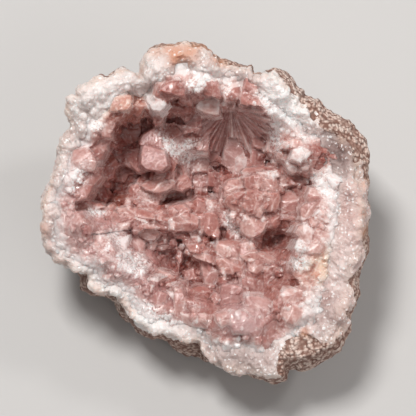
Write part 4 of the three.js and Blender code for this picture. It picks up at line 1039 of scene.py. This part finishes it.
        [2.4, -0.1, 0.1, 0.72, -0.2, 2.8, -27, 5.2, -26.8, 7, -28.4, 6.6, -30.4, 4.4, -31, 3.2, -29.4],
        [3.0, 0, 0.1, 0.63, -1, 7, -26.4, 10.6, -26.2, 13.6, -28.4, 14.4, -31.4, 11.4, -33, 8, -32.4, 6.6,
         -29.6],
    ]),
    # the left slope, and pale plates at the lower right
    (0.72, [
        [1.6, 0, 0.1, 0.42, -0.2, -26.6, -8.4, -25.4, -8, -24.6, -10.2, -25, -11.4, -26.6, -10.6],
        [1.8, 0, 0.1, 0.74, -0.2, -31, -4.6, -28.2, -4.4, -27.2, -6.6, -28.4, -9.4, -30.8, -9.2],
        [2.0, 0, 0.2, 0.64, -0.3, -21, -6.2, -18.5, -6.6, -17, -8, -17.2, -10.2, -20, -10.2, -21.2, -8.6],
        [2.2, 0, 0.2, 0.66, -0.2, -16.4, -7.4, -14.5, -6.9, -13.2, -8.2, -15, -9.9, -16.6, -9.2],
        [2.0, 0.1, 0.2, 0.58, -0.2, -13.4, -7.2, -11, -7, -9.6, -8.6, -11.4, -9.8, -13.8, -9.6],
        [3.2, 0, 0.1, 0.72, 0, -18.5, -4.1, -14, -3.9, -12.8, -5, -14.5, -6.6, -17.5, -6.2, -19, -5.2],
        [2.0, 0, 0.1, 0.78, 0, -25, -2.9, -23, -1.8, -21.5, -2, -21.8, -3.8, -24, -4.4],
        [2.4, 0, 0.3, 1, -0.1, -24.2, -7.6, -23.5, -6.2, -21.4, -6.1, -21.2, -8, -22.2, -9.9, -23.7, -9.6],
        [2.2, 0, 0.3, 1, 0, -27.3, -7.2, -27, -6.3, -26.3, -6.2, -26.2, -7, -26.8, -7.6],
        [2.4, 0.1, 0.1, 0.78, 0, 22, -20, 24.4, -20.2, 27, -20.6, 27.4, -23, 24, -24.4, 21.6, -23.8, 20.8,
         -21.8],
        [2.2, 0, 0.1, 0.74, 0, 21.2, -24.2, 24, -24.6, 26.6, -24, 27.2, -27.4, 24.6, -30, 22.6, -29.6, 21.4,
         -26.6],
    ]),
]
# The fan: slim roof-shaped crystals that grew side by side from one point, each [degrees from straight down,
# half width in degrees, length, rise, paleness]. POINTS are clean crystals over and beside them, in rows as
# above.
FAN_ROOT = np.array([7.5, 30.4])
RAYS = [
    [-70, 6, 9.5, 0.9, 0.42], [-60, 5, 11, 1.2, 0.33], [-51, 5, 13, 0.9, 0.44], [-43, 4.5, 13.5, 1.4, 0.3],
    [-35, 4, 14.5, 1.1, 0.44], [-28, 4, 13.5, 1.6, 0.3], [-21, 4, 14.5, 1.3, 0.46], [-14, 3.5, 13, 1.7, 0.3],
    [-7, 4, 14.5, 2.3, 0.52], [1, 4.5, 14.5, 3.0, 0.66], [9, 4, 14, 2.4, 0.54], [16, 3, 12, 1.2, 0.24],
    [23, 4.5, 14, 2.1, 0.5], [31, 3.5, 13, 1.3, 0.3], [38, 4.5, 12.5, 2.1, 0.46], [46, 3.5, 13, 1.4, 0.32],
    [53, 4.5, 12.5, 2.1, 0.46], [61, 3.5, 13, 1.6, 0.36], [69, 5, 12, 2.3, 0.48], [80, 6, 10, 2.2, 0.56],
]
POINTS = [
    [1.8, 0.1, 0, 0.66, -0.3, 12.4, 15.2, 13.4, 17.2, 13.8, 18.6, 15.2, 18.2, 16.4, 17.3, 16.8, 15, 15.5,
     13.8, 13.4, 13.9],
    [2.2, 0.1, 0.1, 0.64, 0, 13.3, 21.4, 15.8, 22, 17.9, 21, 18.1, 18.2, 17.2, 17.9, 14.6, 18.5, 13.6, 19.2],
    [2.6, 0.3, 0.2, 1, 0, 17.5, 21.4, 18.1, 21.4, 18.1, 18.1, 17.4, 18],
    [1.4, -0.1, 0, 0.6, -0.1, 1.2, 18.4, 3.4, 18.2, 4, 15.8, 2.2, 15.4],
    [6.4, 0, 0.1, 1, 0, -2.1, 29.9, -1.2, 31.3, 0.4, 32.1, 2.4, 31.9, 3.9, 31.2, 4.1, 30, 3.8, 28.3, 3, 27.4,
     1.2, 27.5, -0.6, 28.3, -1.8, 28.9],
]
# Gaps between the crystals: [depth, paleness, outline u, v, ...]. Their low paleness is painted shade,
# dark colour where the gaps lie in shadow. The floor of a gap is GAP_DEEPENS times its depth below a level
# GAP_TOP above the bed.
GAP_TOP, GAP_DEEPENS, GAP_SHADE_PALENESS = 1.4, 0.7, 0.02
HOLES = [
    [7, 0, -10.7, 4.9, -10.3, 6.8, -9.4, 7.3, -6.6, 6.6, -4, 4.4, -8, 4.6],
    [7, 0.04, -6.8, 6.6, -3.8, 7.1, 0, 7.2, 0.5, 4.6, -4, 4.4],
    [6, 0.08, -0.4, 7.3, 4.6, 7.7, 5, 5.2, 0.4, 4.6],
    [4, 0, 2, 13.8, 4.6, 14.4, 6.2, 13.2, 7.6, 11.9, 5.4, 11.4, 3.4, 12.4],
    [4, 0, 16.9, 18, 18.4, 18.6, 19.4, 17.2, 18.4, 15, 16.5, 14.2],
    [2, 0.05, 10.5, 21.6, 11.6, 22, 13.2, 20, 13.7, 17, 12.6, 15.8, 11.6, 17, 10.9, 19],
    [1.6, 0.08, 4.5, 19.6, 5.4, 23.8, 6, 24, 5.9, 20.5, 5.2, 17.4, 4.8, 17],
    [2, 0.08, 3.9, 16, 4.6, 18.4, 5.2, 17.4, 4.8, 15.4],
    [3.5, 0, -11.4, 26.2, -11.2, 28.4, -10.2, 28.7, -8.5, 27.8, -8.2, 26.2, -10.5, 25.9],
    [2.5, 0.1, -8.5, 27.6, -7, 27.4, -5.6, 25.6, -6.4, 25, -8.4, 25.9],
    [3, 0, -16.6, 27.2, -15.4, 26.9, -13, 25, -13.6, 24.8, -15.6, 25.6],
    [1.5, 0.2, -4, 32.4, -2.6, 33.4, -1.4, 33, -2.6, 31.9],
    [2, 0.22, 30.2, 13, 31.6, 16, 32.6, 17.4, 33.8, 16, 34, 14.4, 32.6, 13.2, 31.4, 12.4],
    [1.3, 0.28, 16.3, -6.6, 18.3, -4.8, 20, -4.6, 22.4, -5.6, 24.8, -5.4, 24.9, -7.6, 23.6, -9, 22.6, -10.2,
     19.8, -9.4, 17.4, -8.6],
    [4, 0, 10, -5, 10.1, -6.6, 11.8, -6.6, 11.6, -6.1],
    [4, 0, 11.6, -6.2, 11.6, -6.9, 13.8, -8.2, 14.2, -7.9],
    [2.5, 0.1, -0.4, -6.2, 1, -7.8, 2.6, -7.2, 3.6, -5.9, 1.4, -5.7],
    [2.5, 0.15, 4.2, -3.6, 4.4, -5.8, 5.6, -6.8, 6.8, -6.2, 6.2, -4.4, 5.4, -3.2],
    [2, 0.2, -13.6, 1.6, -12.8, 4.2, -8, 4.4, -8.2, 2.8, -10.2, 2.2, -10.6, 0.4, -11.4, -2, -12.2, -1.6],
    [2, 0.2, 3.8, -16.4, 4.2, -19.4, 6.4, -19.4, 6.2, -17.8],
    [1.6, 0.24, 6.2, -17.8, 6.4, -19.3, 8.8, -18.6, 9.8, -17.5],
    [2.5, 0.1, -7.9, -18.4, -7.9, -20.4, -6.6, -20.4, -5.9, -18.4, -6.2, -16.4, -6.9, -16.6],
    [1.5, 0.25, -6, -18.6, -3.4, -18.8, -3.4, -19.8, -6.2, -20],
    [1.6, 0.3, 20.2, -18.6, 21, -15.8, 23.5, -16, 25.9, -18.4, 24.4, -19.6, 21.4, -19.4],
    [3, 0.12, 23, -18, 25.8, -17.6, 26, -19.4, 24, -19.8],
    [2, 0.1, 20.2, -20.2, 21.4, -20.2, 20.8, -21.2],
    [1.5, 0.28, 2.2, -26.4, 3.2, -26.6, 3, -29.2, 2, -29.6],
    [1.2, 0.35, -5.6, -22.4, -4.6, -23, -5.4, -26.4, -6.3, -26.8],
    [1.2, 0.28, -34.2, -3.2, -33.6, -2.2, -32.2, -2.6, -32, -4.6, -32.8, -6.4, -33.8, -5.6],
    [1.5, 0.2, -22.4, -4.6, -21, -4.2, -19.2, -4.6, -19.4, -5.6, -21.6, -5.8],
    [1.4, 0.34, -14, -12.6, -13.2, -10.4, -9.4, -9.8, -8.3, -12, -8.4, -15.4, -10.4, -15.8, -13, -14.8],
    [1.3, 0.36, -6, -10.8, -4.6, -10.6, -2.6, -12, -1.8, -13.4, -2.6, -15, -5.2, -15.6, -6.2, -14.4],
    [0.8, 0.4, 16.4, -30.4, 19.4, -28.4, 21.8, -30.4, 22.2, -34, 21, -37.4, 17, -38, 15.4, -35],
]


def nearest(point):
    """The grid point nearest to a place."""
    return np.argmin((crust_u - point[0]) ** 2 + (crust_v - point[1]) ** 2)


for depth, pale, *flat in HOLES:
    outline = np.reshape(flat, (-1, 2))
    at = grid_points_in(outline.min(0), outline.max(0))
    at = at[past_outline(outline, at) < 0]
    crust_w[at] = np.minimum(crust_w[at], bed_w[at] + GAP_TOP - GAP_DEEPENS * depth + breakage[at])
    # Painted shade: the gap's floor is painted with its low paleness.
    tone[at] = pale + GAP_SHADE_PALENESS
    druse[at], ragged_share[at], gap_depth[at] = 0, 0.3, depth

break_rng = np.random.default_rng(12)


def stand_crystal(polish, rise, lean_u, lean_v, pale, colour, *flat):
    """Lays one crystal from a table, its outline and lean a little broken by chance. All but the cleanest
    have two more faces that fall away from its middle, each painted a step paler than the one before as
    painted facet light."""
    outline = np.reshape(flat, (-1, 2))
    outline = outline + break_rng.normal(0, 0.25, outline.shape)
    lean = np.array([lean_u, lean_v]) + break_rng.normal(0, 0.08, 2)
    leans = [lean]
    for bearing in break_rng.uniform(0, 2 * np.pi) + np.array([0.0, 2.4]):
        if polish < 0.9:
            fall = break_rng.uniform(0.2, 0.6)
            leans.append(lean + fall * np.array([math.cos(bearing), math.sin(bearing)]))
    height = bed_w[nearest(outline.mean(0))] + rise
    at, which = lay(outline, height, leans, polish, carve=True)
    # Painted facet light: each face a step paler than the one before, plus a random change of tone.
    shade = break_rng.uniform(-0.1, 0.1) + 0.07 * (which - 1.7)
    tone[at] = np.clip(mix(pale, area_tone[at], 0.15) + shade, 0, 1)
    tint[at] = mix(colour, tint[at], 0.3)
    druse[at] *= 0.35
    ragged_share[at], gap_depth[at] = 0.9 - polish, 0


def stand_ray(degrees, half, length, rise, pale):
    """Lays one ray of the fan: a slim roof of two faces that widens from the root and comes to a point,
    with fine ribs along it whose thin dark-to-light lines come from noise over its bearing."""
    along = np.array([math.sin(math.radians(degrees)), -math.cos(math.radians(degrees))])
    across = np.array([-along[1], along[0]])
    shoulder = 0.85
    wide = shoulder * length * math.tan(math.radians(half))
    ends = np.array([[0, -0.3], [0, 0.3], [shoulder, wide], [1, 0], [shoulder, -wide]]) * (length, 1)
    outline = FAN_ROOT + ends[:, :1] * along + ends[:, 1:] * across
    first, last = (bed_w[nearest(FAN_ROOT + length * share * along)] for share in (0.1, 0.95))
    fall = np.clip((first - last) / length, -1, 2) * along
    height = bed_w[nearest(outline.mean(0))] + rise
    at, _ = lay(outline, height, [fall + 0.75 * across, fall - 0.75 * across], carve=True)
    away = np.stack([crust_u[at], crust_v[at]], -1) - FAN_ROOT
    bearing, share = np.arctan2(away @ across, away @ along), np.linalg.norm(away, axis=-1) / length
    rib = noise(np.stack([14 * bearing + degrees, 0.6 * share, 0 * share], -1), 1.0, 81)
    thin = np.maximum(0, 1 - 7 * np.abs(rib))
    crust_w[at] += 0.1 * rib
    tone[at] = np.clip(pale + 0.08 * rib + 0.16 * thin + 0.16 * smooth(share, 0.6, 1), 0, 1)
    tint[at], druse[at], ragged_share[at] = -0.25, 0, 0


for polish, rows in CRYSTALS:
    for row in rows:
        stand_crystal(polish, *row)
for row in RAYS:
    stand_ray(*row)
for row in POINTS:
    stand_crystal(1.0, *row)
# The fan's middle crystal ends in a clear point: one face along it, and two that fall away to its tip.
# Each face is painted its own paleness, a painted facet light.
CLEAR_POINT = [
    [6.6, 22], [5.2, 17.4], [5.2, 14.8], [6.8, 12.8], [8.5, 11.7], [9.9, 12], [11.7, 13.9], [12, 15.6],
    [11, 17.6], [8.9, 22],
]
CLEAR_RISE = 3.2
CLEAR_FACES = [[0, 0.05], [0.5, -0.55], [-0.5, -0.55]]
CLEAR_FACE_LIGHT_TONES = [0.54, 0.82, 0.68]
outline = np.array(CLEAR_POINT)
at, which = lay(outline, bed_w[nearest(outline.mean(0))] + CLEAR_RISE, CLEAR_FACES, carve=True)
tone[at], tint[at], druse[at], ragged_share[at] = np.array(CLEAR_FACE_LIGHT_TONES)[which], -0.4, 0, 0


def reach_out(grid, reach, pick):
    """The highest, lowest or sum, as pick says, of the values within reach of each grid point."""
    padded = np.pad(grid, reach, mode="edge")
    rows = pick.reduce([padded[k:k + len(grid)] for k in range(2 * reach + 1)])
    return pick.reduce([rows[:, k:k + len(grid)] for k in range(2 * reach + 1)])


def even(grid, reach):
    """The mean within reach of each grid point."""
    return reach_out(grid, reach, np.add) / (2 * reach + 1) ** 2


# Gaps too narrow to see into are filled to a little below the tops beside them, and the worn places are
# evened out. Then the small crystals grow: coarse ones all over, and fine white ones in the druse.
closed = reach_out(reach_out(crust_w.reshape(bed_share.shape), 4, np.maximum), 4, np.minimum).ravel()
crust_w = np.maximum(crust_w, closed - 0.4 + 0.4 * fine - 0.3 * gap_depth)
worn = np.clip(bumps(crust_u, crust_v, SOFT), 0, 0.8)
crust_w = mix(crust_w, even(crust_w.reshape(bed_share.shape), 3).ravel(), worn)
area_tone = tone.copy()
strewn(1500, 57, (0.5, 1.5), 0.5, 0.5, ragged_share, 0.32)
area_tone = np.clip(area_tone + 0.35 * druse, 0, 1)
strewn(2600, 34, (0.3, 0.8), 0.5, 0.35, 1.4 * druse, 0.5)


def open_sky(grid):
    """How much of the sky each grid point sees, from 0 to 1. Along eight ways over the grid the steepest
    rise to points at several distances is the horizon. Above one of slope h it sees 1 / (1 + h^2)."""
    w, place = grid[..., 2], grid[..., :2]
    size = len(w)
    seen = 0
    for bearing in np.array([[1, 0], [0, 1], [-1, 0], [0, -1], [1, 1], [1, -1], [-1, 1], [-1, -1]]):
        steepest = np.zeros(w.shape)
        for step in (4, 7, 12, 20, 34):
            i, j = (np.clip(np.arange(size) + step * k, 0, size - 1) for k in bearing)
            far = np.linalg.norm(place[np.ix_(i, j)] - place, axis=-1)
            steepest = np.maximum(steepest, (w[np.ix_(i, j)] - w) / np.maximum(far, 0.2))
        seen = seen + 1 / (1 + steepest**2)
    return seen / 8


# The finished face. Its ragged border dips into the wall, and its very edge goes well below the wall's face.
heights = crust_w.reshape(bed_share.shape)
crust = np.stack([bed[..., 0], bed[..., 1], heights], -1)
border = bed_share + 0.05 * rough(bed, 5.0, 2, 77)
dip = 1.7 * smooth(border, 0.86, 1.0)
crust[..., 2] += 0.05 * rough(crust, 1.6, 3, 61) - dip - 2.2 * (bed_share > 0.999)
# Painted shade: the less sky a point sees over the crust around it, the more its colour is darkened.
crevice_shade = 0.8 * smooth(1 - open_sky(crust), 0.35, 0.9) * (1 - smooth(bed_share, 0.9, 0.96))
grown = np.stack([tone, inset / FULL_INSET, druse, crevice_shade.ravel()], -1)
stained = np.stack([np.maximum(tint, 0), np.maximum(-tint, 0), 0 * tint, 0 * tint], -1)


# The material of the crust. Its marks: grown = (paleness, distance from an edge, white crystals, painted
# crevice
# shade) and stained = (amber, rose, nothing, nothing). Its colour by paleness, from 0 to 1:
QUARTZ_COLOURS = {
    0: (0.24, 0.05, 0.036, 1), 0.25: (0.33, 0.105, 0.08, 1), 0.5: (0.44, 0.20, 0.172, 1),
    0.75: (0.62, 0.39, 0.352, 1), 1: (0.85, 0.76, 0.742, 1),
}
AMBER, ROSE, CREVICE_SHADE_COLOUR = (1.0, 0.8, 0.62, 1), (0.56, 0.405, 0.415, 1), (0.68, 0.40, 0.34, 1)
LINE_AND_HIGHLIGHT_WHITE, FROST, PAINTED_GLINT = (0.86, 0.77, 0.75, 1), (0.96, 0.92, 0.91, 1), (0.95, 0.92, 0.91, 1)
# EDGE_WIDTH is also the width of the painted highlight along each edge.
LINES_APART, EDGE_WIDTH = 0.45, 0.24        # of growth lines, and of the pale edges, in millimetres


def pink_quartz():
    """Pink quartz. Its colour runs from reddish brown through salmon to white, with painted shade darkening
    it in the crevices. Edges carry a painted highlight and a painted glow, and the faces carry growth lines,
    veils, fine specks and glints, some of them painted near white."""
    material, tree, shader, place = new_material("pink_quartz")
    pale, from_edge, thick, painted_crevice_shade = attribute(tree, "grown")
    amber, rose, _, _ = attribute(tree, "stained")
    veils, broad, fine = clouds_of(tree, place, 420.0, 120.0, 1500.0)

    share = pale
    for change in (
        remap(tree, broad, 0, 1, -0.06, 0.06),
        remap(tree, veils, 0, 1, -0.11, 0.11),
        remap(tree, fine, 0, 1, -0.05, 0.05),
        # painted glow: paler within about a millimetre of an edge
        remap(tree, from_edge, 0, 0.2, 0.06, -0.02),
        math_node(tree, "MULTIPLY", remap(tree, fine, 0.2, 0.8, -0.1, 0.4), thick),
    ):
        share = math_node(tree, "ADD", share, change)
    ramp = tree.nodes.new("ShaderNodeValToRGB")
    for spot, colour in QUARTZ_COLOURS.items():
        end = {0: ramp.color_ramp.elements[0], 1: ramp.color_ramp.elements[-1]}.get(spot)
        (end or ramp.color_ramp.elements.new(spot)).color = colour
    feed(ramp.inputs, {0: share})
    colour = mix_colour(tree, amber, ramp.outputs[0], AMBER, "MULTIPLY")
    colour = mix_colour(tree, math_node(tree, "MULTIPLY", rose, 0.45), colour, ROSE)
    # Painted shade: the colour is multiplied darker and redder by the crevice mark.
    colour = mix_colour(tree, painted_crevice_shade, colour, CREVICE_SHADE_COLOUR, "MULTIPLY")

    # the relief of the faces: fine growth lines, then the worn edges, then the glints
    wander = math_node(tree, "MULTIPLY_ADD", veils, 0.05, from_edge)
    lines = math_node(tree, "PINGPONG", math_node(tree, "MULTIPLY", wander, FULL_INSET / LINES_APART), 1.0)
    lined = fine_relief(tree, math_node(tree, "MULTIPLY_ADD", lines, 0.15, fine), 0.00006, 1.0)
    worn = fine_relief(tree, remap(tree, from_edge, 0, EDGE_WIDTH / FULL_INSET), 0.00015, 0.8, Normal=lined)
    tip = remap(tree, thick, 0, 1, 0.22, 0.5)
    sparkle = place_group(tree, glitter, Place=place, Scale=GLITTER_SCALE, Tip=tip, Normal=worn)

    # Painted highlight: a pale band along each edge, paler on paler crystals.
    edge = remap(tree, from_edge, EDGE_WIDTH / FULL_INSET, 0)
    edge = math_node(tree, "MULTIPLY", edge, remap(tree, veils, 0, 1, 0.05, 0.6))
    # Painted glints: a few grains painted near white, more of them in the druse.
    glint = remap(tree, sparkle["Grain"], 0.9, 0.94)
    colour = layered(tree, colour, [
        (math_node(tree, "MULTIPLY", lines, 0.05), LINE_AND_HIGHLIGHT_WHITE),
        (math_node(tree, "MULTIPLY", edge, remap(tree, pale, 0.15, 0.65, 0.25, 1)), LINE_AND_HIGHLIGHT_WHITE),
        (math_node(tree, "MULTIPLY", thick, remap(tree, fine, 0.3, 0.7, 0.15, 0.85)), FROST),
        (math_node(tree, "MULTIPLY", glint, remap(tree, thick, 0, 0.7, 0.12, 1)), PAINTED_GLINT),
    ])
    feed(shader, {
        "Base Color": colour, "Normal": sparkle["Normal"], "IOR": QUARTZ_IOR, "Specular IOR Level": 0.6,
        "Roughness": remap(tree, sparkle["Grain"], 0.4, 0.9, 0.2, 0.06),
        "Subsurface Weight": 0.9, "Subsurface Radius": (1.0, 0.87, 0.85), "Subsurface Scale": 0.0032,
    })
    return material


# The underside: the grid's own edge, drawn in to the middle in a few rings and sunk as it goes in.
UNDERSIDE_DEPTH = FLOOR_DEPTH + 5
DRAWN_IN = [0.97, 0.85, 0.6, 0.3]
side = np.arange(CRUST_CELLS)
edge_i = np.concatenate([side, 0 * side + CRUST_CELLS, CRUST_CELLS - side, 0 * side])
edge_j = np.concatenate([0 * side, side, 0 * side + CRUST_CELLS, CRUST_CELLS - side])
edge_points = crust[edge_i, edge_j]
inward = np.array(DRAWN_IN)[:, None, None]
under = edge_points * (1, 1, 0) * inward + (0, 0, 1) * mix(-UNDERSIDE_DEPTH, edge_points[..., 2:], inward**3)
points = np.concatenate([crust.reshape(-1, 3), under.reshape(-1, 3), [[0, 0, -UNDERSIDE_DEPTH]]])

at = np.arange((CRUST_CELLS + 1) ** 2).reshape(CRUST_CELLS + 1, -1)
quads = np.stack([at[:-1, :-1], at[1:, :-1], at[1:, 1:], at[:-1, 1:]], -1).reshape(-1, 4)
under_rings = at.size + np.arange(under[..., 0].size).reshape(len(DRAWN_IN), -1)
rings = np.concatenate([at[edge_i, edge_j][None], under_rings])
following = np.roll(rings, -1, 1)
sides = np.stack([following[:-1], rings[:-1], rings[1:], following[1:]], -1).reshape(-1, 4)
fan = np.stack([following[-1], rings[-1], 0 * rings[-1] + len(points) - 1], -1)
corners = np.concatenate([quads.ravel(), sides.ravel(), fan.ravel()])
sizes = np.concatenate([np.full(len(quads) + len(sides), 4), np.full(len(fan), 3)])
unseen = np.zeros((len(points) - at.size, 4))
marks = {"grown": np.concatenate([grown, unseen]), "stained": np.concatenate([stained, unseen])}
crust_piece = new_piece("crystal_crust_bed", points, corners, sizes, marks, [pink_quartz()])
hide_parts("crystal_crust")


# ---- floor, light and background ----
# A plain pale matt sheet. One soft key light stands beyond the geode on the left, a wide weak fill in front
# of it on the right, and a small side light beyond it on the right. The background adds a little light.
FLOOR_SIZE = 4                  # metres
WARM_WHITE = (1.0, 0.98, 0.97)
SKY_STRENGTH = 0.2

bpy.ops.mesh.primitive_plane_add(size=FLOOR_SIZE)
floor = bpy.context.object
floor.name = "floor"
floor_material, _, shader, _ = new_material("pale_floor")
feed(shader, {"Base Color": (0.55, 0.54, 0.53, 1), "Roughness": 0.9})
floor.data.materials.append(floor_material)


def area_light(name, place, size, power, colour):
    """A square light at a place in mouth millimetres, turned to the mouth's centre. Its size is in metres."""
    light = bpy.data.objects.new(name, bpy.data.lights.new(name, "AREA"))
    light.data.size, light.data.energy, light.data.color = size, power, colour
    light.location = stand(place)
    direction = stand((0, 0, 0)) - stand(place)
    tilt = math.acos(-direction[2] / np.linalg.norm(direction))
    light.rotation_euler = (tilt, 0, math.atan2(direction[1], direction[0]) - math.pi / 2)
    bpy.context.collection.objects.link(light)


area_light("key", (-190, 470, 640), 0.22, 6.3, (1.0, 0.985, 0.97))
area_light("fill", (500, -300, 600), 0.6, 1.6, WARM_WHITE)
area_light("side", (520, 420, 380), 0.12, 1.2, WARM_WHITE)
world = bpy.data.worlds.new("studio")
world.use_nodes = True
feed(world.node_tree.nodes["Background"].inputs, {0: (*WARM_WHITE, 1), 1: SKY_STRENGTH})
bpy.context.scene.world = world
bpy.context.scene.view_settings.view_transform = "Standard"
